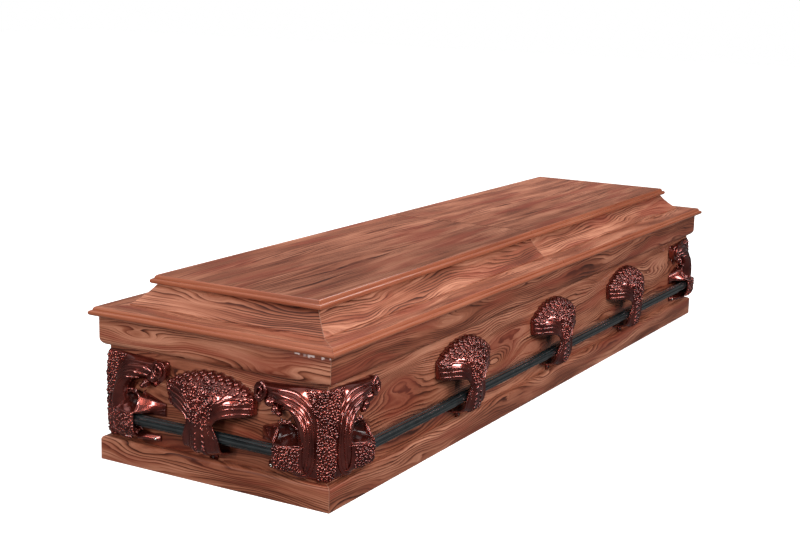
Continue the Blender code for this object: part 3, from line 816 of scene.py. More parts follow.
# %% Meshes grown by the trees
def grown(mesh, tree, **inputs):
    """The mesh that a tree makes from a carrier mesh."""
    carrier = linked("carrier", mesh)
    modifier = carrier.modifiers.new("nodes", "NODES")
    modifier.node_group = tree
    for item in tree.interface.items_tree:
        if item.in_out == "INPUT" and item.name in inputs:
            modifier[item.identifier] = inputs[item.name]
    bpy.context.view_layer.update()
    graph = bpy.context.evaluated_depsgraph_get()
    made = bpy.data.meshes.new_from_object(carrier.evaluated_get(graph))
    bpy.data.objects.remove(carrier)
    return made


def scattered(places, shape, material):
    """Copies of a shape. Each place is (point, turn as a matrix, size)."""
    mesh = new_mesh("points", [place[0] for place in places])
    turn = mesh.attributes.new("turn", "FLOAT_VECTOR", "POINT")
    size = mesh.attributes.new("size", "FLOAT_VECTOR", "POINT")
    for k, (_, matrix, scale) in enumerate(places):
        turn.data[k].vector = matrix.to_euler()
        size.data[k].vector = scale
    return grown(mesh, SCATTER, Shape=shape, Material=material)


def ribbed(paths, material, sides=8):
    """Round ribs. Each path is a list of (point, radius)."""
    points, edges, thick = [], [], []
    for path in paths:
        first = len(points)
        points += [point for point, _ in path]
        thick += [radius for _, radius in path]
        edges += [(first + k, first + k + 1) for k in range(len(path) - 1)]
    mesh = new_mesh("paths", points, edges=edges)
    values = mesh.attributes.new("thick", "FLOAT", "POINT")
    values.data.foreach_set("value", thick)
    return grown(mesh, RIBS, Sides=sides, Material=material)


print("growing helpers ready")

# %% [markdown]
# ## The cast lacquer, the bars and the screws
#
# The castings are bright plated metal under a clear red-brown lacquer. The metal gives sharp
# light and the lacquer colours it. So the finish is a metal with a deep red base under a
# clear coat, with slow clouds where the lacquer is thicker. The hollow over each cup has a
# finish of its own, almost black: painted shade for the deep shadow inside it. The bars are
# painted a dark grey green.

# %% Metal finishes
CAST_DARK, CAST_LIGHT = (0.120, 0.013, 0.008), (0.310, 0.064, 0.046)
# The hollow's colours are painted shade: an almost black stand-in for the shadow inside it.
HOLLOW_SHADE_DARK, HOLLOW_SHADE_LIGHT = (0.010, 0.002, 0.0015), (0.060, 0.008, 0.005)
BAR_DARK, BAR_LIGHT = (0.004, 0.006, 0.007), (0.008, 0.012, 0.013)
BRIGHT_METAL, DARK_METAL = (0.75, 0.70, 0.64), (0.10, 0.08, 0.08)


def make_cast():
    finish = Finish("red_brown_cast")
    cloud = finish.object_noise(26.0, 3.0)
    speck = finish.object_noise(420.0, 2.0)
    finish.set(
        Base_Color=finish.ramp(cloud, (0.30, CAST_DARK), (0.70, CAST_LIGHT)),
        Roughness=0.14 + cloud * 0.12,
        Normal=finish.bump(speck, 0.0003, 0.08),
        Metallic=0.86,
        Specular_IOR_Level=0.25,
        Coat_Weight=0.9,
        Coat_Roughness=0.06,
        Coat_IOR=1.6,
    )
    return finish.material


def make_hollow_shade():
    """Painted shade: an almost black finish for the shaded hollow over the cup."""
    finish = Finish("painted_hollow_shade")
    cloud = finish.object_noise(60.0, 3.0)
    finish.set(
        Base_Color=finish.ramp(cloud, (0.30, HOLLOW_SHADE_DARK), (0.75, HOLLOW_SHADE_LIGHT)),
        Roughness=0.12 + cloud * 0.14,
        Normal=finish.bump(cloud, 0.0006, 0.3),
        Specular_IOR_Level=0.4,
    )
    return finish.material


def make_bar_paint():
    finish = Finish("dark_bar_paint")
    grain = finish.object_noise(45.0, 2.0)
    finish.set(
        Base_Color=finish.ramp(grain, (0.35, BAR_DARK), (0.65, BAR_LIGHT)),
        Roughness=0.20 + grain * 0.08,
        Normal=finish.bump(grain, 0.0002, 0.05),
        Coat_Weight=1.0,
        Coat_Roughness=0.12,
    )
    return finish.material


def make_screw_metal(name, colour, roughness):
    finish = Finish(name)
    grain = finish.object_noise(900.0, 2.0)
    dark = tuple(part * 0.6 for part in colour)
    finish.set(
        Base_Color=finish.ramp(grain, (0.3, dark), (0.7, colour)),
        Roughness=roughness + grain * 0.1,
        Metallic=1.0,
    )
    return finish.material


cast = make_cast()
painted_hollow_shade = make_hollow_shade()
bar_paint = make_bar_paint()
bright_screw = make_screw_metal("bright_screw", BRIGHT_METAL, 0.18)
dark_screw = make_screw_metal("dark_screw", DARK_METAL, 0.25)
finishes = (cast, painted_hollow_shade, bar_paint, bright_screw, dark_screw)
print("metal finishes:", *(material.name for material in finishes))

# %% [markdown]
# ## Small carved shapes
#
# A leaf is a pointed pod with a groove along its middle. A rosette is a ring of petals round
# a button. A screw is a low dome with a cross slot. They have only a few dozen faces each,
# because they are set hundreds of times.


# %% Leaf, rosette and screw
def net_rim(rows, columns):
    """The indices round the edge of a net of points."""
    rim = list(range(columns)) + [r * columns + columns - 1 for r in range(1, rows)]
    rim += [(rows - 1) * columns + c for c in range(columns - 2, -1, -1)]
    return rim + [r * columns for r in range(rows - 2, 0, -1)]


def hidden_shape(name, points, faces):
    """A small shape that is only set on points and never shown itself."""
    mesh = outward(new_mesh(name, points, faces), weld=1e-6)
    mesh.shade_smooth()
    return bpy.data.objects.new(name, mesh)


def leaf_shape():
    """One leaf, 1 long, 0.5 wide and 0.2 high, growing along X."""
    rows, cols = 4, 4
    points = []
    for r in range(rows + 1):
        share = r / rows
        half = 0.27 * math.sin(math.pi * share**0.8) ** 0.8 if 0 < r < rows else 0.0
        lift = 0.20 * math.sin(math.pi * share) ** 0.6 if 0 < r < rows else 0.0
        for c in range(cols + 1):
            side = 2.0 * c / cols - 1.0
            crown = (1.0 - side * side) ** 0.5 if abs(side) < 1 else 0.0
            groove = 0.35 * math.exp(-((side / 0.22) ** 2))
            points.append((share - 0.5, side * half, lift * (crown - groove) - 0.03))
    count = len(points)
    faces = []
    for r in range(rows):
        for c in range(cols):
            corner = r * (cols + 1) + c
            faces.append((corner, corner + 1, corner + cols + 2, corner + cols + 1))
    rim = net_rim(rows + 1, cols + 1)
    points.append((0.0, 0.0, -0.12))
    faces += [(first, second, count) for first, second in zip(rim, rim[1:] + rim[:1])]
    return hidden_shape("leaf", points, faces)


print("leaf helper ready")


# %% Rosette and screw
def round_shape(name, rings, spokes, top, bottom, surface):
    """A closed round shape, 1 across, between a top point and a bottom point."""
    points = [(0.0, 0.0, top)]
    for r in range(1, rings + 1):
        points += [surface(0.5 * r / rings, 2.0 * math.pi * s / spokes) for s in range(spokes)]
    points.append((0.0, 0.0, bottom))
    faces = [(0, 1 + s, 1 + (s + 1) % spokes) for s in range(spokes)]
    for r in range(rings - 1):
        for s in range(spokes):
            a, b = 1 + r * spokes + s, 1 + r * spokes + (s + 1) % spokes
            faces.append((a, a + spokes, b + spokes, b))
    last = 1 + (rings - 1) * spokes
    faces += [(last + s, len(points) - 1, last + (s + 1) % spokes) for s in range(spokes)]
    return hidden_shape(name, points, faces)


def petal_point(far, angle):
    """A point of an open flower with a raised curl round its button."""
    petal = 1.0 + 0.12 * math.cos(5.0 * angle)
    wave = 0.11 * math.cos(far * 2.0 * math.pi / 0.22 + angle)
    fall = 0.16 * (1.0 - (far / 0.5) ** 2)
    height = fall + wave * smooth(0.05, 0.12, far) * smooth(0.5, 0.40, far)
    return far * petal * math.cos(angle), far * petal * math.sin(angle), height - 0.03


def screw_point(far, angle):
    """A point of a domed head with a cross slot, which stands on Z = 0."""
    x, y = far * math.cos(angle), far * math.sin(angle)
    slot = min(abs(x), abs(y)) < 0.05 and far < 0.34
    return x, y, 0.10 if slot else 0.26 * (1.0 - (far / 0.5) ** 3)


LEAF = leaf_shape()
ROSETTE = round_shape("rosette", 8, 16, 0.16, -0.15, petal_point)
SCREW = round_shape("screw", 7, 32, 0.10, -0.10, screw_point)
for shape in (LEAF, ROSETTE, SCREW):
    print(shape.name, "faces:", len(shape.data.polygons))

# %% [markdown]
# ## Surfaces of the castings
#
# Both castings are thin shells on flow lines. A flow line starts at the wall under the foot,
# rises over the bar, fans out through the neck and turns back to the wall at the branch
# tips. `side` says which flow line, `rise` says how far along it. The functions repeat the
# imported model's shapes; here they are read on a fine net and the branches get full ribs.

# %% Sizes of the castings
BAR_RADIUS, BAR_FLUTES, FLUTE_DEPTH = 0.01175, 12, 0.0012
BAR_STANDOFF, BAR_RISE, BAR_END = 0.031, 0.058, 0.050
SHELL, PANEL_STEP, ARM_DIP, COLUMN_GROOVE = 0.003, 0.0024, 0.0030, 0.0022
TREE_SPACING, TREES_A_SIDE = 0.470, 3
TREE_REACH, TREE_TOP_DROP, TREE_TIP_DROP = 0.107, 0.014, 0.035
NECK_RISE, NECK_HALF, FOOT_HALF, CROWN_RISE = 0.085, 0.0315, 0.0450, 0.023
CROWN_DOME, TIP_CORNER, TIP_TAPER = 0.020, 0.55, 0.004
TRUNK_CLEARANCE, TRUNK_ROUND, TAB_HALF, TAB_THICK = 0.0075, 0.003, 0.010, 0.004
CORNER_FOOT_RISE, CORNER_TOP_DROP = 0.002, 0.008
COLUMN_SHARE, COLUMN_NOSE, COLUMN_HALF = 0.3, 0.0045, 0.022
COLUMN_DEPTH, COLUMN_FLARE = 0.011, 0.010
RIDGE, RIDGE_NECK, RIDGE_BEND, RIDGE_BEND_RISE, RIDGE_FOOT = 0.5, 0.034, 0.036, 0.068, 0.060
WING_NECK, WING_BEND, WING_BEND_RISE = 0.060, 0.062, 0.061
WING_FOOT, WING_FOOT_RISE, WING_REACH = 0.096, 0.014, 0.155
WING_TIP_LOW, WING_TIP_DROP, WING_DIP, WING_DEPTH = 0.116, 0.064, 0.005, 0.031
BAR_Z = PLINTH_HEIGHT + BAR_RISE
BAR_FRONT = BAR_STANDOFF + BAR_RADIUS
TREE_DEPTH = BAR_FRONT + TRUNK_CLEARANCE + SHELL
TREE_NECK = PLINTH_HEIGHT + NECK_RISE
TREE_TOP = FRIEZE_BOTTOM - TREE_TOP_DROP
CORNER_FOOT = PLINTH_HEIGHT + CORNER_FOOT_RISE
CORNER_TOP = FRIEZE_BOTTOM - CORNER_TOP_DROP
CORNER_NECK = CORNER_FOOT + NECK_RISE


print("tree top in mm:", round(TREE_TOP * 1000, 1))


# %% The tree bracket's surface
def tree_rim(side, skin):
    reach, top = TREE_REACH - skin, TREE_TOP - skin
    tip = TREE_TOP - TREE_TIP_DROP - skin
    rise = top - tip
    radius = (reach * reach + rise * rise) / (2.0 * rise)
    share = abs(side)
    if share <= TIP_CORNER:
        angle = math.asin(reach / radius) * share / TIP_CORNER
        across, height = radius * math.sin(angle), top - radius * (1.0 - math.cos(angle))
    else:
        down = (share - TIP_CORNER) / (1.0 - TIP_CORNER)
        across = reach - TIP_TAPER * down * down
        height = blend(tip, TREE_NECK + CROWN_RISE, down)
    return math.copysign(across, side), height


TRUNK_LINE = (
    (0.0, 0.0655), (0.018, 0.0668), (0.036, 0.0710), (0.0465, 0.0775), (0.0505, 0.0880),
    (0.0522, 0.1080), (TREE_DEPTH, TREE_NECK),
)
trunk_line = []


def tree_point(side, rise, skin):
    depth = TREE_DEPTH - skin
    if rise <= 1.0:
        out, height = follow(trunk_line, rise)
        down = (TREE_NECK - height) / (TREE_NECK - TRUNK_LINE[0][1])
        half = blend(NECK_HALF, FOOT_HALF, math.sin(0.5 * math.pi * min(down / 0.7, 1.0)) ** 1.3)
        inward = 1.0 - (out / TREE_DEPTH) ** 2
        height += 0.006 * side * side * down + skin * inward
        out = max(out - skin * (1.0 - inward), 0.0) * (1.0 - (0.06 + 0.12 * down) * side * side)
        if skin == 0.0:
            hollow = smooth(0.44, 0.58, abs(side)) * smooth(1.0, 0.80, abs(side))
            out -= PANEL_STEP * hollow * min(out / 0.03, 1.0)
        return Vector((side * half, -GAP - out, height))
    share = rise - 1.0
    end_across, end_height = tree_rim(side, skin)
    bend_height = TREE_NECK + CROWN_RISE + CROWN_DOME * (1.0 - abs(side))
    stay, turn = (1.0 - share) ** 2, 2.0 * share * (1.0 - share)
    across = stay * side * NECK_HALF + turn * side * NECK_HALF * 1.08 + share * share * end_across
    height = stay * TREE_NECK + turn * bend_height + share * share * end_height
    out = (depth - TRUNK_ROUND * side * side * (1.0 - share)) * math.sqrt(1.0 - share**3.5)
    dip = ARM_DIP * smooth(0.36, 0.46, abs(side))
    out -= dip * smooth(0.0, 0.3, share) * smooth(1.0, 0.8, share)
    return Vector((across, -GAP - out, height))


print("tree depth in mm:", round(TREE_DEPTH * 1000, 1))


# %% Shells, steps and curves
def shell_mesh(name, surface, sides, rises):
    """A closed shell between a surface's outer skin and its inner one, each a net of points."""
    rows, columns = len(rises), len(sides)
    points = [surface(s, r, skin) for skin in (0.0, SHELL) for r in rises for s in sides]
    back, faces = rows * columns, []
    for r in range(rows - 1):
        for c in range(columns - 1):
            a = r * columns + c
            b, d = a + 1, a + columns
            faces += [(a, b, d + 1, d), (back + d, back + d + 1, back + b, back + a)]
    rim = net_rim(rows, columns)
    faces += [(a, b, back + b, back + a) for a, b in zip(rim, rim[1:] + rim[:1])]
    return new_mesh(name, points, faces)


def steps(low, high, count):
    return [low + (high - low) * k / count for k in range(count + 1)]


def eased(low, high, count):
    """Steps that crowd towards the far end, where a shell turns to the wall."""
    return [low + (high - low) * math.sin(math.radians(90.0 * k / count)) for k in range(count + 1)]


def stand_on(surface, side, rise, heading=0.0):
    """A point of a surface and the turn that stands a shape on it, X along the flow line."""
    step = 0.004
    here = surface(side, rise, 0.0)
    flow = surface(side, min(rise + step, 2.0), 0.0) - surface(side, rise - step, 0.0)
    across = surface(side + step, rise, 0.0) - surface(side - step, rise, 0.0)
    up = flow.cross(across)
    up.normalize()
    flow.normalize()
    if up.dot(here - surface(side, rise, SHELL)) < 0:
        up.negate()
    turn = Matrix((flow, up.cross(flow), up)).transposed()
    return here, turn @ Matrix.Rotation(heading, 3, "Z")


def curve_through(places, count, closed=False):
    """Points on a smooth curve through the given ones."""
    places = [Vector(place) for place in places]
    if closed:
        padded = [places[-1], *places, places[0], places[1]]
    else:
        padded = [2 * places[0] - places[1], *places, 2 * places[-1] - places[-2]]
    spans = len(padded) - 3
    curve = []
    for k in range(count if closed else count + 1):
        place = spans * k / count
        span = min(int(place), spans - 1)
        t = place - span
        a, b, c, d = padded[span : span + 4]
        bend = (2 * a - 5 * b + 4 * c - d) * t * t + (3 * b - a - 3 * c + d) * t**3
        curve.append(0.5 * (2 * b + (c - a) * t + bend))
    return curve


def follow(line, share):
    """A point at a share of a fine line."""
    place = min(max(share, 0.0), 1.0) * (len(line) - 1)
    first = min(int(place), len(line) - 2)
    return line[first].lerp(line[first + 1], place - first)


trunk_line[:] = curve_through(TRUNK_LINE, 60)


def surface_rib(surface, sites, count=44, sign=1.0, sink=0.35):
    """A round rib that follows (side, rise, radius) sites of a surface."""
    path = []
    for side, rise, radius in curve_through(sites, count):
        here, turn = stand_on(surface, sign * side, rise)
        path.append((here - turn.col[2] * radius * sink, max(radius, 0.0003)))
    return path


def joined(name, meshes, *materials):
    """Several meshes as one piece, all facing outwards. A scoop takes the painted shade, the second
    material.
    """
    body = bmesh.new()
    for mesh in meshes:
        # A scoop's faces take the hollow's painted shade.
        slot = int(mesh.name.startswith("scoop"))
        mesh.polygons.foreach_set("material_index", [slot] * len(mesh.polygons))
        body.from_mesh(mesh)
    bmesh.ops.recalc_face_normals(body, faces=body.faces)
    whole = bpy.data.meshes.new(name)
    body.to_mesh(whole)
    body.free()
    for material in materials:
        whole.materials.append(material)
    whole.shade_smooth()
    return whole


# %% [markdown]
# ## The tree bracket
#
# The tree has a trunk with a leaf pattern down its middle, branches that sweep to
# both sides as ribs, and a crown crowded with small leaves and flowers. Leaves and flowers
# are set on the crown with a random but fixed spread; each one keeps a clear distance from
# its neighbours.

# %% The tree bracket's mesh
spread = random.Random(4)
FLOWER_SIZE, FLOWER_ROOM = 0.0200, 0.0105
TREE_LEAF, TREE_LEAF_GAP = 0.0094, 0.0056
VEIN_RISES, VEIN_SIDE, VEIN_SIZE = (0.32, 1.04), 0.25, (0.0165, 0.0125, 0.0200)
BROW_RISES, BROW_HALF, BROW_SIZES = (1.925, 1.975, 1.993), 0.62, (0.0220, 0.0270)
TREE_RIBS = (
    ((0.36, 1.28, 0.0014), (0.38, 1.45, 0.0020), (0.40, 1.60, 0.0027), (0.43, 1.75, 0.0032),
     (0.48, 1.87, 0.0036), (0.54, 1.99, 0.0034)),
    ((0.50, 1.22, 0.0014), (0.48, 1.42, 0.0019), (0.48, 1.58, 0.0026), (0.52, 1.72, 0.0031),
     (0.59, 1.85, 0.0036), (0.66, 1.99, 0.0034)),
    ((0.67, 1.18, 0.0014), (0.63, 1.40, 0.0019), (0.61, 1.58, 0.0026), (0.65, 1.72, 0.0031),
     (0.73, 1.85, 0.0034), (0.80, 1.99, 0.0032)),
    ((0.60, 0.20, 0.0009), (0.60, 0.50, 0.0013), (0.58, 0.80, 0.0014), (0.56, 1.12, 0.0014)),
    ((0.79, 0.20, 0.0009), (0.79, 0.50, 0.0013), (0.77, 0.80, 0.0015), (0.75, 1.15, 0.0015)),
    ((0.97, 0.08, 0.0010), (0.97, 0.50, 0.0014), (0.97, 0.90, 0.0016), (0.93, 1.25, 0.0018),
     (0.89, 1.50, 0.0023), (0.87, 1.70, 0.0027), (0.90, 1.86, 0.0030), (0.95, 1.99, 0.0028)),
)
TREE_FLOWERS = (
    (-0.14, 1.81), (0.05, 1.72), (0.23, 1.84), (0.25, 1.64), (-0.27, 1.65), (-0.07, 1.53),
    (0.16, 1.44), (-0.16, 1.37), (0.03, 1.25), (0.03, 1.90), (-0.30, 1.85),
)


print("tree ribs a side:", len(TREE_RIBS), "flowers:", len(TREE_FLOWERS))


# %% Leaves, flowers and curls
def spread_on(surface, sides, rises, gap, tries, keep=lambda side, rise: True, taken=()):
    """Random places on a surface that keep a gap from each other and from the taken ones."""
    chosen = []
    blocked = [(surface(side, rise, 0.0), room) for side, rise, room in taken]
    for _ in range(tries):
        side, rise = spread.uniform(*sides), spread.uniform(*rises)
        if not keep(side, rise):
            continue
        here = surface(side, rise, 0.0)
        if any((here - other).length < room for other, room in blocked):
            continue
        if all((here - other[2]).length > gap for other in chosen):
            chosen.append((side, rise, here))
    return [(side, rise) for side, rise, _ in chosen]


def leaf_places(surface, sites, size, swing=math.pi, tilt=0.42, lift=0.0006):
    places = []
    for side, rise in sites:
        here, turn = stand_on(surface, side, rise, spread.uniform(-swing, swing))
        tip = Euler((spread.uniform(-tilt, tilt), spread.uniform(-tilt, tilt), 0.0)).to_matrix()
        scale = size * spread.uniform(0.75, 1.3)
        here = here + turn @ Vector((0.0, 0.0, lift))
        places.append((here, turn @ tip, (scale, scale * 1.1, scale * 2.0)))
    return places


def flower_places(surface, sites, size):
    places = []
    for side, rise in sites:
        here, turn = stand_on(surface, side, rise, spread.uniform(0.0, 6.0))
        scale = size * spread.uniform(0.92, 1.1)
        places.append((here, turn, (scale, scale, scale * 1.25)))
    return places


def curl_paths(surface, sites, size, turns=1.35):
    """A small scroll wound over each flower."""
    paths = []
    for side, rise in sites:
        here, turn = stand_on(surface, side, rise)
        first, way = spread.uniform(0.0, 6.0), spread.choice((-1.0, 1.0))
        path = []
        for k in range(23):
            share = k / 22
            angle = first + way * 2.0 * math.pi * turns * share
            far = size * (0.46 - 0.36 * share)
            lift = size * (0.17 + 0.10 * share)
            place = Vector((far * math.cos(angle), far * math.sin(angle), lift))
            path.append((here + turn @ place, size * (0.078 - 0.018 * share)))
        paths.append(path)
    return paths


print("leaf, flower and curl helpers ready")


# %% The tree bracket as one mesh
def in_crown(side, rise):
    return abs(side) < blend(0.60, 0.37, smooth(1.2, 1.6, rise)) + 0.12 * smooth(1.85, 1.97, rise)


def make_tree():
    sides = steps(-1.0, 1.0, 84)
    rises = steps(0.0, 1.0, 24)[:-1] + eased(1.0, 2.0, 46)
    taken = [(side, rise, FLOWER_ROOM) for side, rise in TREE_FLOWERS]
    reach = ((-0.62, 0.62), (1.02, 1.90))
    leaves = spread_on(tree_point, *reach, TREE_LEAF_GAP, 8000, in_crown, taken)
    carved = []
    for rise in steps(*VEIN_RISES, 8):
        for side in (-VEIN_SIDE, VEIN_SIDE):
            here, turn = stand_on(tree_point, side, rise, math.copysign(0.65, side))
            carved.append((here, turn, VEIN_SIZE))
    for row, rise in enumerate(BROW_RISES):
        half = BROW_HALF - 0.05 * row
        for side in steps(-half, half, 12 - row):
            here, turn = stand_on(tree_point, side, rise, spread.uniform(-0.35, 0.35))
            size = spread.uniform(*BROW_SIZES)
            carved.append((here, turn, (size, size, size * 1.1)))
    ribs = [surface_rib(tree_point, rib, sign=sign) for rib in TREE_RIBS for sign in (-1.0, 1.0)]
    ribs += curl_paths(tree_point, TREE_FLOWERS, FLOWER_SIZE)
    meshes = [
        shell_mesh("tree_shell", tree_point, sides, rises),
        scattered(leaf_places(tree_point, leaves, TREE_LEAF, tilt=0.30), LEAF, cast),
        scattered(carved, LEAF, cast),
        scattered(flower_places(tree_point, TREE_FLOWERS, FLOWER_SIZE), ROSETTE, cast),
        ribbed(ribs, cast),
    ]
    print("tree bracket: leaves", len(leaves), "ribs", len(ribs))
    return joined("tree_bracket", meshes, cast)


def tab_mesh():
    """The small flat tab with a screw that holds the tree's foot to the wall."""
    body = bmesh.new()
    bmesh.ops.create_cube(body, size=1.0)
    low, high = PLINTH_HEIGHT + GAP, TRUNK_LINE[0][1] + SHELL
    for vert in body.verts:
        vert.co.x *= 2.0 * TAB_HALF
        vert.co.y = -GAP - TAB_THICK / 2 + vert.co.y * TAB_THICK
        vert.co.z = (low + high) / 2 + vert.co.z * (high - low)
    bmesh.ops.bevel(body, geom=body.edges[:], offset=0.0009, segments=2, affect="EDGES")
    mesh = bpy.data.meshes.new("tab")
    body.to_mesh(mesh)
    body.free()
    return mesh


tree_mesh = make_tree()
tree_tab = tab_mesh()


def set_down(name, mesh, turn, location, node):
    """A turned copy of a mesh as a finished piece whose object stays at the origin."""
    copy = mesh.copy()
    copy.transform(Matrix.Translation(location) @ Matrix.Rotation(math.radians(turn), 4, "Z"))
    ride_for(linked(name, copy), node)


whole_tree = joined("whole_tree", [tree_mesh, tree_tab], cast)
tree_spots = []
for side, turn, away in (("front", 0, -1.0), ("back", 180, 1.0)):
    for k in range(TREES_A_SIDE):
        x = (k - (TREES_A_SIDE - 1) / 2) * TREE_SPACING
        tree_spots.append((f"{side}_{k + 1}", turn, (x, away * BODY_WIDTH / 2, 0.0)))
tree_spots.append(("foot", 270, (-BODY_LENGTH / 2, 0.0, 0.0)))
tree_spots.append(("head", 90, (BODY_LENGTH / 2, 0.0, 0.0)))
for where, turn, location in tree_spots:
    node = f"tree_bracket_{where}"
    set_down(f"cast_tree_{where}", whole_tree, turn, location, node)
print("tree triangles:", triangles(whole_tree))

# %% [markdown]
# ## The corner bracket
#
# The corner bracket wraps the sharp corner with a leafy column. From it two wings sweep out
# and up as four ribs, end in a scroll, and curl back under the bar as an open C. Inside the
# C sits a leafy cup for the bar's end with a hollow above it, framed by a bright lip; the
# hollow's deep shade is painted in almost black. Two arms reach back to the wall, one over
# the bar and one under it.


# %% The corner bracket's surface
def wing_to_corner(along, out, height, mirrored=False):
    if mirrored:
        return Vector((along, -GAP - out, height))
    return Vector((-GAP - out, along, height))


def wing_rim(share, skin):
    top, reach = CORNER_TOP - skin, WING_REACH - skin
    if share <= RIDGE:
        out = share / RIDGE
        return blend(COLUMN_HALF + COLUMN_FLARE, reach, out), top - WING_DIP * out
    down = (share - RIDGE) / (1.0 - RIDGE)
    return (
        blend(reach, WING_TIP_LOW - skin / 3.0, down * down),
        blend(top - WING_DIP, CORNER_TOP - WING_TIP_DROP + 1.3 * skin, down),
    )


def wing_section(share, skin, edge, ridge, end):
    if share <= RIDGE:
        up = share / RIDGE
        out = blend(COLUMN_DEPTH, WING_DEPTH, smooth(0.0, 0.9, up))
        return blend(edge, ridge, up) + skin * math.sin(math.pi * up), out - skin
    angle = math.radians(90.0) * (share - RIDGE) / (1.0 - RIDGE)
    reach = max(end - ridge - skin, 0.0)
    return ridge + reach * math.sin(angle), (WING_DEPTH - skin) * math.cos(angle)


def corner_point(side, rise, skin):
    """(along, out, height) of the corner shell for one wing."""
    share = max(side - COLUMN_SHARE, 0.0) / (1.0 - COLUMN_SHARE)
    upper, lower = max(rise - 1.0, 0.0), 1.0 - min(rise, 1.0)
    start, depth = wing_section(share, skin, COLUMN_HALF, RIDGE_NECK, WING_NECK)
    if rise <= 1.0:
        foot_end = WING_FOOT - 1.5 * skin
        foot_along, _ = wing_section(share, skin, COLUMN_HALF, RIDGE_FOOT, foot_end)
        along = blend(start, foot_along, lower * lower)
        height = blend(CORNER_NECK, CORNER_FOOT + WING_FOOT_RISE * share * share + skin, lower)
        fall = math.sqrt(1.0 - lower**3.5)
    else:
        over = max(share - RIDGE, 0.0) / (1.0 - RIDGE)
        bend = blend(RIDGE_BEND, WING_BEND - skin, over)
        bend = blend(COLUMN_HALF, bend, min(share / RIDGE, 1.0))
        bend_height = CORNER_NECK + blend(RIDGE_BEND_RISE, WING_BEND_RISE + skin, over)
        end_along, end_height = wing_rim(share, skin)
        stay, turn = (1.0 - upper) ** 2, 2.0 * upper * (1.0 - upper)
        along = stay * start + turn * bend + upper * upper * end_along
        height = stay * CORNER_NECK + turn * bend_height + upper * upper * end_height
        fall = math.sqrt(1.0 - upper**3.5)
    beside = math.exp(-(((side - COLUMN_SHARE) / 0.022) ** 2)) * smooth(0.9, 0.3, upper)
    depth -= COLUMN_GROOVE * beside
    if side >= COLUMN_SHARE:
        return along, max(depth, 0.0) * fall, height
    across = side / COLUMN_SHARE
    height = blend(CORNER_NECK, CORNER_TOP - skin, upper) if rise > 1.0 else height
    out = (blend(COLUMN_NOSE, COLUMN_DEPTH, across**1.5) - skin - COLUMN_GROOVE * beside) * fall
    return across * along - (1.0 - across) * out, out, height


def corner_surface(signed_side, rise, skin):
    """A point of the whole corner shell. The sign of the side says which wing."""
    return wing_to_corner(*corner_point(abs(signed_side), rise, skin), mirrored=signed_side < 0)


print("corner neck in mm:", round(CORNER_NECK * 1000, 1))

# %% [markdown]
# ## Blocks, drums and pods
#
# The arms that reach back to the wall are blocks with soft edges. The branch tips end in an
# oval drum, and small pods hang under them. A scroll is a rib wound up on the drum's face.


# %% Blocks, drums and pods
def soft_block(name, rings, rounding):
    """A closed block between two rings of points, with rounded edges."""
    first, second = rings
    count = len(first)
    faces = [tuple(range(count)), tuple(range(count, 2 * count))]
    faces += [(k, (k + 1) % count, count + (k + 1) % count, count + k) for k in range(count)]
    return outward(new_mesh(name, [*first, *second], faces), rounding=rounding)


def loft_block(name, stations, mirrored, rounding):
    """A block between two outlines. Each station is (along, outline of (out, height))."""
    rings = [[wing_to_corner(a, d, z, mirrored) for d, z in outline] for a, outline in stations]
    return soft_block(name, rings, rounding)


def drum(along, height, half_along, half_height, depth, mirrored, sides=32):
    """The oval body of a scroll, standing out from the wall."""
    ring = [
        (along + half_along * c, height + half_height * s)
        for c, s in arc(0, 360 - 360 / sides, sides - 1)
    ]
    rings = [[wing_to_corner(a, d, z, mirrored) for a, z in ring] for d in (0.001, depth)]
    return soft_block("drum", rings, 0.0034)


def pod(centre, radii, mirrored, rows=12, spokes=20):
    """A small hanging lobe with soft lengthwise folds."""
    points = []
    for r in range(1, rows):
        fall = math.pi * r / rows
        for s in range(spokes):
            angle = 2.0 * math.pi * s / spokes
            fold = 1.0 + 0.07 * math.cos(5.0 * angle) * math.sin(fall)
            a = centre[0] + radii[0] * math.sin(fall) * math.cos(angle) * fold
            d = centre[1] + radii[1] * math.sin(fall) * math.sin(angle) * fold
            z = centre[2] + radii[2] * math.cos(fall)
            points.append(wing_to_corner(a, d, z, mirrored))
    poles = len(points)
    points.append(wing_to_corner(centre[0], centre[1], centre[2] + radii[2], mirrored))
    points.append(wing_to_corner(centre[0], centre[1], centre[2] - radii[2], mirrored))
    faces = []
    for s in range(spokes):
        t = (s + 1) % spokes
        faces += [(poles, s, t), (poles + 1, poles - spokes + t, poles - spokes + s)]
        for r in range(rows - 2):
            a, b = r * spokes + s, r * spokes + t
            faces.append((a, a + spokes, b + spokes, b))
    return new_mesh("pod", points, faces)


def spiral(centre, radii, depths, turns, thick, start, mirrored, count=40):
    """A scroll: a rib that winds in to a button and rises as it goes."""
    path = []
    for k in range(count + 1):
        share = k / count
        angle = math.pi * start + 2.0 * math.pi * turns * share
        inward = 1.0 - 0.86 * share
        point = wing_to_corner(
            centre[0] + radii[0] * inward * math.cos(angle),
            blend(*depths, share),
            centre[1] + radii[1] * inward * math.sin(angle),
            mirrored,
        )
        path.append((point, thick * blend(1.0, 0.65, share)))
    return path


print("pod helpers ready")

# %% [markdown]
# ## The cup and its hollow
#
# The bar's end sits in a cup. The cup's front is convex and leafy, and its underside curves
# back to the wall. Over it the casting is scooped out, and the scoop's edge is a bright
# round lip. Both are nets of points, closed into thin shells.

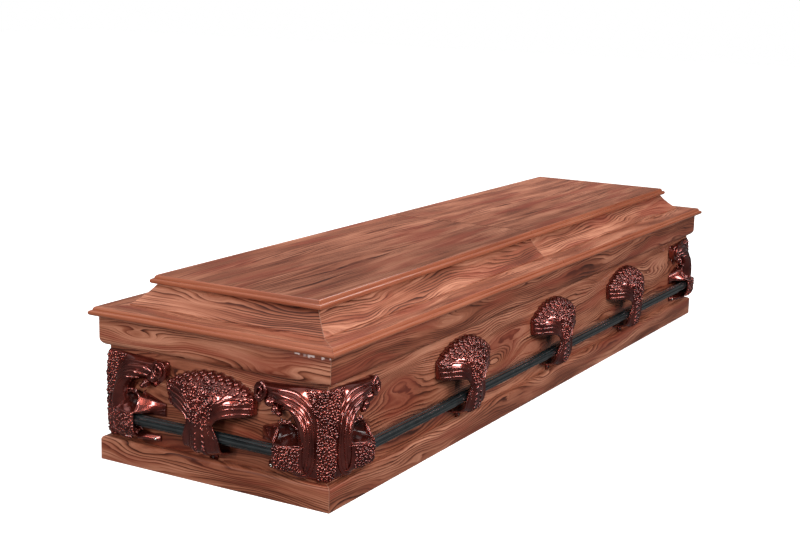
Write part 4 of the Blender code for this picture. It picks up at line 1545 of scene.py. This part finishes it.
# %% Cup and scoop
CUP_SKIN = 0.0024
CUP_FRONT = (
    (0.036, 0.0330), (0.040, 0.0390), (0.046, 0.0430), (0.052, 0.0455), (0.064, 0.0470),
    (0.078, 0.0475), (0.090, 0.0468), (0.095, 0.0452),
)
CUP_SIDE = (
    (0.02, 0.0660), (0.40, 0.0680), (0.72, 0.0730), (0.91, 0.0820), (0.985, 0.0950),
    (1.00, 0.1100), (0.985, 0.1250),
)
SCOOP_RING = (
    (0.0400, 0.0240, 0.1240), (0.0460, 0.0185, 0.1340), (0.0510, 0.0160, 0.1450),
    (0.0600, 0.0170, 0.1560), (0.0750, 0.0200, 0.1620), (0.0880, 0.0220, 0.1600),
    (0.0950, 0.0240, 0.1520), (0.0980, 0.0290, 0.1410), (0.0985, 0.0350, 0.1310),
    (0.0960, 0.0410, 0.1260), (0.0860, 0.0455, 0.1248), (0.0700, 0.0460, 0.1245),
    (0.0560, 0.0425, 0.1255), (0.0450, 0.0350, 0.1262),
)
SCOOP_HEART = Vector((0.072, 0.005, 0.141))
ARM_MOUTH = (
    (0.001, 0.1160), (0.016, 0.1170), (0.018, 0.1222), (0.040, 0.1222), (0.041, 0.1270),
    (0.031, 0.1400), (0.024, 0.1540), (0.010, 0.1590), (0.001, 0.1600),
)
ARM_TIP = (
    (0.0008, 0.1150), (0.0035, 0.1150), (0.0040, 0.1200), (0.0040, 0.1270), (0.0040, 0.1320),
    (0.0040, 0.1360), (0.0038, 0.1390), (0.0025, 0.1415), (0.0008, 0.1420),
)
LOW_ARM_MOUTH = (
    (0.0008, 0.0610), (0.0200, 0.0640), (0.0250, 0.0700), (0.0150, 0.0780), (0.0008, 0.0790),
)
LOW_ARM_TIP = (
    (0.0008, 0.0605), (0.0040, 0.0605), (0.0045, 0.0660), (0.0040, 0.0735), (0.0008, 0.0740),
)
LIP_RADIUS = 0.0017
cup_front, cup_side = curve_through(CUP_FRONT, 48), curve_through(CUP_SIDE, 48)


def cup_point(side, rise, skin):
    """(along, out, height). Side runs to the mouth and rise from the wall to the top edge."""
    along, front = follow(cup_front, side)
    share, height = follow(cup_side, rise)
    under = 1.0 - share
    out = max(front * share - skin * (1.0 - under), 0.0005)
    return along, out, height + skin * min(under * 1.5, 1.0)


def cup_surface(mirrored):
    def surface(side, rise, skin):
        return wing_to_corner(*cup_point(side, rise, skin * CUP_SKIN / SHELL), mirrored)

    return surface


print("cup net:", len(cup_front), "by", len(cup_side))


# %% The scoop, its lip and the arms
def scoop_mesh(mirrored, spokes=56, rows=14):
    """The hollow over the cup, as a thin closed bowl."""
    ring = curve_through(SCOOP_RING, spokes, closed=True)
    points = []
    for skin in (0.0, CUP_SKIN):
        for r in range(rows):
            share = r / rows
            for place in ring:
                flat = place + (place - SCOOP_HEART).normalized() * skin
                a, _, z = flat.lerp(SCOOP_HEART, share)
                d = SCOOP_HEART[1] + (place[1] - SCOOP_HEART[1]) * (1.0 - share) ** 2.0 - skin * 0.6
                points.append(wing_to_corner(a, max(d, 0.0006), z, mirrored))
        heart = (SCOOP_HEART[0], SCOOP_HEART[1] - skin, SCOOP_HEART[2])
        points.append(wing_to_corner(*heart, mirrored))
    layer = rows * spokes + 1
    faces = []
    for s in range(spokes):
        t = (s + 1) % spokes
        faces.append((s, t, layer + t, layer + s))
        for first in (0, layer):
            last = first + (rows - 1) * spokes
            faces.append((last + s, last + t, first + layer - 1))
            for r in range(rows - 1):
                a, b = first + r * spokes + s, first + r * spokes + t
                faces.append((a, b, b + spokes, a + spokes))
    return new_mesh("scoop", points, faces)


def lip_path(mirrored):
    ring = curve_through(SCOOP_RING, 72, closed=True)
    return [(wing_to_corner(*place, mirrored), LIP_RADIUS) for place in [*ring, ring[0]]]


def wing_arms(mirrored):
    """The arm from the cup's mouth to the wall and the low arm that carries the screw."""
    arm = ((0.094, ARM_MOUTH), (0.146, ARM_TIP))
    low_arm = ((0.085, LOW_ARM_MOUTH), (0.132, LOW_ARM_TIP))
    return [
        loft_block("arm", arm, mirrored, 0.0012),
        loft_block("low_arm", low_arm, mirrored, 0.0018),
    ]


print("scoop edge points:", len(SCOOP_RING))

# %% [markdown]
# ## Ribs and leaves of the corner bracket
#
# Each rib is a list of places on the wing's surface with a radius at each. The top rib runs
# out along the branch to the tip. The second is the big one: it starts under the cup, climbs
# beside the column and swings out to the tip. The column's leaves are small and crowded and
# lean every way, which is what makes the casting glitter.

# %% The corner bracket's mesh
WING_RIBS = (
    ((0.30, 1.36, 0.0008), (0.34, 1.50, 0.0022), (0.37, 1.60, 0.0030), (0.40, 1.71, 0.0038),
     (0.43, 1.81, 0.0044), (0.48, 1.86, 0.0048), (0.55, 1.88, 0.0050), (0.62, 1.89, 0.0048),
     (0.67, 1.93, 0.0044)),
    ((0.70, 0.05, 0.0036), (0.53, 0.11, 0.0046), (0.44, 0.18, 0.0050), (0.37, 0.34, 0.0046),
     (0.345, 0.52, 0.0037), (0.335, 0.72, 0.0034), (0.35, 0.96, 0.0034), (0.375, 1.22, 0.0038),
     (0.405, 1.40, 0.0043), (0.45, 1.58, 0.0050), (0.52, 1.71, 0.0056), (0.62, 1.77, 0.0058),
     (0.74, 1.83, 0.0054), (0.84, 1.94, 0.0044)),
    ((0.80, 0.08, 0.0018), (0.66, 0.13, 0.0026), (0.55, 0.22, 0.0032), (0.50, 0.36, 0.0034),
     (0.475, 0.71, 0.0034), (0.465, 0.98, 0.0036), (0.475, 1.15, 0.0038),
     (0.49, 1.36, 0.0041), (0.53, 1.50, 0.0045), (0.62, 1.60, 0.0048), (0.73, 1.69, 0.0046),
     (0.83, 1.80, 0.0036)),
    ((0.59, 0.80, 0.0016), (0.575, 1.02, 0.0028), (0.57, 1.22, 0.0034), (0.585, 1.37, 0.0036),
     (0.64, 1.47, 0.0036), (0.73, 1.53, 0.0034), (0.84, 1.63, 0.0026)),
)
PODS = (
    ((0.122, 0.013, 0.1955), (0.0125, 0.0105, 0.0100)),
    ((0.107, 0.0145, 0.1840), (0.0085, 0.0100, 0.0095)),
    ((0.098, 0.0165, 0.1765), (0.0058, 0.0070, 0.0060)),
)
SCROLLS = (
    ((0.1405, 0.2150), (0.0150, 0.0185), (0.0200, 0.0245), 1.6, 0.0036, 0.5),
    ((0.1010, 0.1600), (0.0052, 0.0052), (0.0080, 0.0170), 1.2, 0.0016, 0.5),
    ((0.1075, 0.1840), (0.0075, 0.0085), (0.0190, 0.0255), 1.3, 0.0018, 1.2),
)
TIP_DRUM = (0.1450, 0.2120, 0.0125, 0.0205, 0.0185)
BUDS = ((0.30, 0.80), (0.55, 0.86), (0.80, 0.78), (0.45, 0.64), (0.72, 0.62))
BUD_SIZE, BUD_ROOM = 0.0120, 0.0070
CUP_LEAF, CUP_LEAF_GAP = 0.0088, 0.0050
CORNER_LEAF, CORNER_LEAF_GAP = 0.0092, 0.0048
CREST = ((0.083, 0.0225, 0.1640, 0.0115), (0.072, 0.0215, 0.1650, 0.0090))
CLAW_HEIGHTS, CLAW_RADIUS = (0.150, 0.163, 0.176), 0.0019


print("ribs a wing:", len(WING_RIBS), "scrolls a wing:", len(SCROLLS))


# %% The parts of a wing
def on_column(side, rise):
    return abs(side) < COLUMN_SHARE * blend(0.80, 1.16, smooth(1.2, 1.9, rise))


def claw_path(height, mirrored):
    """One short rib that wraps the column's edge beside the hollow."""
    out = 0.0215 - 0.25 * abs(height - 0.150)
    along = blend(0.052, 0.066, (height - 0.150) / 0.026)
    line = (
        (along - 0.004, out, height),
        (along + 0.004, out * 0.6, height),
        (along + 0.005, 0.002, height),
    )
    return [(wing_to_corner(*place, mirrored), CLAW_RADIUS) for place in curve_through(line, 10)]


def facing_wall(mirrored):
    """The turn that points a shape's Z straight out from its wing's wall."""
    if mirrored:
        return Matrix.Rotation(math.radians(90.0), 3, "X")
    return Matrix.Rotation(math.radians(-90.0), 3, "Y")


def make_wing(mirrored):
    """The loose meshes and the ribs of one wing, without the shell that both wings share."""
    ribs = [
        surface_rib(corner_surface, rib, 56, -1.0 if mirrored else 1.0, 0.3) for rib in WING_RIBS
    ]
    cup = cup_surface(mirrored)
    meshes = [shell_mesh("cup", cup, steps(0.0, 1.0, 30), steps(0.0, 1.0, 26))]
    meshes += [scoop_mesh(mirrored), *wing_arms(mirrored)]
    taken = [(side, rise, BUD_ROOM) for side, rise in BUDS]
    sites = spread_on(cup, (0.14, 0.98), (0.42, 0.98), CUP_LEAF_GAP, 3000, taken=taken)
    meshes.append(scattered(leaf_places(cup, sites, CUP_LEAF, tilt=0.45), LEAF, cast))
    meshes.append(scattered(flower_places(cup, BUDS, BUD_SIZE), ROSETTE, cast))
    meshes.append(drum(*TIP_DRUM, mirrored))
    ribs += curl_paths(cup, BUDS, BUD_SIZE)
    ribs.append(lip_path(mirrored))
    ribs += [spiral(*scroll, mirrored) for scroll in SCROLLS]
    ribs += [claw_path(height, mirrored) for height in CLAW_HEIGHTS]
    meshes += [pod(centre, radii, mirrored) for centre, radii in PODS]
    turn = facing_wall(mirrored)
    crest = [(wing_to_corner(*place, mirrored), turn, (size,) * 3) for *place, size in CREST]
    meshes.append(scattered(crest, ROSETTE, cast))
    return meshes, ribs


print("buds on each cup:", len(BUDS))


# %% The corner brackets
def make_corner():
    half = steps(0.0, COLUMN_SHARE, 12)[:-1] + steps(COLUMN_SHARE, 1.0, 34)
    sides = [-side for side in reversed(half[1:])] + half
    rises = steps(0.0, 1.0, 30)[:-1] + eased(1.0, 2.0, 50)
    meshes, ribs = [shell_mesh("corner_shell", corner_surface, sides, rises)], []
    reach = ((-0.40, 0.40), (0.06, 1.95))
    leaves = spread_on(corner_surface, *reach, CORNER_LEAF_GAP, 9000, on_column)
    places = leaf_places(corner_surface, leaves, CORNER_LEAF, tilt=0.38, lift=0.0010)
    meshes.append(scattered(places, LEAF, cast))
    for mirrored in (False, True):
        wing_meshes, wing_ribs = make_wing(mirrored)
        meshes += wing_meshes
        ribs += wing_ribs
    meshes.append(ribbed(ribs, cast, 10))
    print("corner bracket: leaves", len(leaves), "ribs", len(ribs))
    # The scoops get the hollow's painted shade as their second material.
    return joined("corner_bracket", meshes, cast, painted_hollow_shade)


corner_mesh = make_corner()
print("corner triangles:", triangles(corner_mesh))
corner_spots = (
    ("foot_front", 0, -1, -1),
    ("head_front", 90, 1, -1),
    ("head_back", 180, 1, 1),
    ("foot_back", 270, -1, 1),
)
for where, turn, x, y in corner_spots:
    location = (x * BODY_LENGTH / 2, y * BODY_WIDTH / 2, 0.0)
    node = f"corner_bracket_{where}"
    set_down(f"cast_corner_{where}", corner_mesh, turn, location, node)

# %% [markdown]
# ## The fluted bars
#
# Each bar is a round tube with twelve soft ridges. Geometry Nodes sweeps the fluted outline
# along a straight path, which keeps every ridge perfectly straight.


# %% The bars
def bar_outline():
    count = BAR_FLUTES * 10
    points = []
    for k in range(count):
        angle = 2.0 * math.pi * k / count
        dip = 0.5 - 0.5 * math.cos(BAR_FLUTES * angle)
        radius = BAR_RADIUS - FLUTE_DEPTH * dip**0.6
        points.append((radius * math.cos(angle), radius * math.sin(angle)))
    return points


def make_bar(length):
    outline = bar_outline()
    count = len(outline)
    edges = [(k, (k + 1) % count) for k in range(count)]
    ring = new_mesh("bar_outline", [(x, y, 0.0) for x, y in outline], edges=edges)
    shape = bpy.data.objects.new("bar_outline", ring)
    ends = [(-length / 2, 0.0, 0.0), (length / 2, 0.0, 0.0)]
    line = new_mesh("bar_line", ends, edges=[(0, 1)])
    mesh = grown(line, SWEEP, Outline=shape, Material=bar_paint)
    whole = joined("bar", [mesh], bar_paint)
    whole.set_sharp_from_angle(angle=math.radians(50.0))
    return whole


across, along = BODY_WIDTH / 2 + BAR_STANDOFF, BODY_LENGTH / 2 + BAR_STANDOFF
long_bar, short_bar = make_bar(BODY_LENGTH - 2 * BAR_END), make_bar(BODY_WIDTH - 2 * BAR_END)
for side, bar, turn, location in (
    ("front", long_bar, 0, (0.0, -across, BAR_Z)),
    ("back", long_bar, 180, (0.0, across, BAR_Z)),
    ("foot", short_bar, 270, (-along, 0.0, BAR_Z)),
    ("head", short_bar, 90, (along, 0.0, BAR_Z)),
):
    set_down(f"fluted_bar_{side}", bar, turn, location, f"handle_bar_{side}")
print("bar faces:", len(long_bar.polygons))

# %% [markdown]
# ## Screws
#
# A bright screw holds each corner bracket's lower arm, and a dark one each tree's tab. The
# same scatter tree sets them: it takes a point and the turn that faces the head outwards.

# %% The screws
CORNER_SCREW_PLACE, CORNER_SCREW_SIZE = (0.1225, 0.0085, 0.0665), 0.0075
TREE_SCREW_RISE, TREE_SCREW_SIZE = 0.0045, 0.0070


def facing(turn):
    """The turn that points a shape's Z away from a wall whose outside is -Y turned by turn."""
    return Matrix.Rotation(math.radians(turn), 3, "Z") @ Matrix.Rotation(math.radians(90.0), 3, "X")


def screw_piece(name, places, size, material):
    mesh = scattered([(point, turn, (size,) * 3) for point, turn in places], SCREW, material)
    piece = linked(name, joined(name, [mesh], material))
    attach(piece, "root")


corner_screws, tree_screws = [], []
for where, turn, x, y in corner_spots:
    base = Vector((x * BODY_LENGTH / 2, y * BODY_WIDTH / 2, 0.0))
    spin = Matrix.Rotation(math.radians(turn), 3, "Z")
    for mirrored in (False, True):
        local = wing_to_corner(*CORNER_SCREW_PLACE, mirrored)
        outward_turn = facing(turn + (0.0 if mirrored else -90.0))
        corner_screws.append((base + spin @ local, outward_turn))
for where, turn, location in tree_spots:
    spin = Matrix.Rotation(math.radians(turn), 3, "Z")
    local = Vector((0.0, -GAP - TAB_THICK, PLINTH_HEIGHT + TREE_SCREW_RISE))
    tree_screws.append((Vector(location) + spin @ local, facing(turn)))
screw_piece("corner_screws", corner_screws, CORNER_SCREW_SIZE, bright_screw)
screw_piece("tree_screws", tree_screws, TREE_SCREW_SIZE, dark_screw)
print("screws:", len(corner_screws) + len(tree_screws))

# %% [markdown]
# ## The floor board inside
#
# The floor board is hidden under the lid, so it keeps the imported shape. It has no map of its
# own, and its grain is a plain pattern on object coordinates.

# %% The floor board's finish
INSIDE_DARK, INSIDE_LIGHT = (0.16, 0.060, 0.035), (0.34, 0.150, 0.095)


def make_inside():
    finish = Finish("inside_board")
    stretch = ((0, 0, 0), (0, 0, 0), (3.0, 60.0, 60.0))
    stretched = finish.node("ShaderNodeMapping", None, finish.object_place(), *stretch)
    grain = finish.noise(stretched, 4.0, 0.6)
    colour = finish.ramp(grain, (0.30, INSIDE_DARK), (0.70, INSIDE_LIGHT))
    finish.set(Base_Color=colour, Roughness=0.5 + grain * 0.1)
    return finish.material


floor_board = nodes["floor_board"].data
floor_board.materials.clear()
floor_board.materials.append(make_inside())
print("inside finish:", floor_board.materials[0].name)

# %% [markdown]
# ## Floor and light
#
# The photograph is a cut-out on white. A pale floor and a pale world stand in for it. The
# camera sees a white world, but the castings need something dark to mirror, so for
# everything except the camera the world is a studio: bright overhead, dim at the sides.

# %% Floor, world and lamps
FLOOR_HALF, FLOOR_DROP, FLOOR_GLOW = 14.0, 0.0005, 0.8
WHITE = (1.0, 1.0, 1.0, 1.0)
WORLD_LEVELS = ((0.0, 0.20), (0.40, 0.16), (0.50, 0.05), (0.66, 0.10), (0.95, 1.0))
WORLD_STRENGTH = 0.70
LAMPS = (
    ("key", (-3.0, -2.8, 2.4), (-0.4, -0.1, 0.2), (1.8, 1.2), 84.0),
    ("top", (0.2, -0.3, 3.2), (0.1, 0.0, 0.3), (3.4, 1.3), 66.0),
    ("side", (0.8, -4.0, 1.7), (0.2, -0.2, 0.15), (2.6, 0.7), 88.0),
    ("end", (-4.2, 0.7, 1.4), (-0.9, 0.0, 0.15), (0.7, 1.0), 50.0),
    ("strip_foot", (-3.9, -0.55, 0.75), (-1.0, -0.1, 0.15), (0.16, 1.5), 15.0),
    ("strip_front", (-1.7, -3.3, 0.75), (-0.8, -0.3, 0.15), (0.16, 1.5), 15.0),
)


def add_floor():
    far = FLOOR_HALF
    corners = [(-far, -far, 0), (far, -far, 0), (far, far, 0), (-far, far, 0)]
    mesh = new_mesh("floor", corners, [(0, 1, 2, 3)])
    finish = Finish("pale_floor")
    finish.set(Base_Color=(0.86, 0.86, 0.86), Roughness=0.9)
    finish.set(Emission_Color=WHITE[:3], Emission_Strength=FLOOR_GLOW)
    mesh.materials.append(finish.material)
    floor = linked("studio_floor", mesh)
    floor.location.z = -FLOOR_DROP
    floor.visible_diffuse = False
    floor.visible_glossy = False


def add_world():
    world = bpy.data.worlds.new("studio")
    bpy.context.scene.world = world
    world.use_nodes = True
    tree = world.node_tree
    back = tree.nodes["Background"]
    white = tree.nodes.new("ShaderNodeBackground")
    choose = tree.nodes.new("ShaderNodeMixShader")
    path = tree.nodes.new("ShaderNodeLightPath")
    place = tree.nodes.new("ShaderNodeTexCoord")
    parts = tree.nodes.new("ShaderNodeSeparateXYZ")
    ramp = tree.nodes.new("ShaderNodeValToRGB")
    lift = tree.nodes.new("ShaderNodeMath")
    lift.operation = "MULTIPLY_ADD"
    lift.inputs[1].default_value = 0.5
    lift.inputs[2].default_value = 0.5
    fill_ramp(ramp.color_ramp, [(height, (level,) * 3) for height, level in WORLD_LEVELS])
    back.inputs[1].default_value = WORLD_STRENGTH
    white.inputs[0].default_value = WHITE
    white.inputs[1].default_value = 1.0
    wire(
        tree,
        (place.outputs["Generated"], parts.inputs[0]),
        (parts.outputs[2], lift.inputs[0]),
        (lift.outputs[0], ramp.inputs[0]),
        (ramp.outputs[0], back.inputs[0]),
        (path.outputs["Is Camera Ray"], choose.inputs[0]),
        (back.outputs[0], choose.inputs[1]),
        (white.outputs[0], choose.inputs[2]),
        (choose.outputs[0], tree.nodes["World Output"].inputs[0]),
    )


def add_lamp(name, place, target, size, power):
    data = bpy.data.lights.new(name, "AREA")
    data.shape = "RECTANGLE"
    data.size, data.size_y = size
    data.energy = power
    lamp = linked(name, data)
    lamp.location = place
    aim = Vector(target) - Vector(place)
    lamp.rotation_euler = aim.to_track_quat("-Z", "Y").to_euler()
    lamp.visible_camera = False


add_floor()
add_world()
for lamp in LAMPS:
    add_lamp(*lamp)
scene = bpy.context.scene
scene.view_settings.view_transform = "Standard"
scene.view_settings.look = "None"
print("lamps:", len(LAMPS))

# %% Bring the scene up to date
bpy.context.view_layer.update()
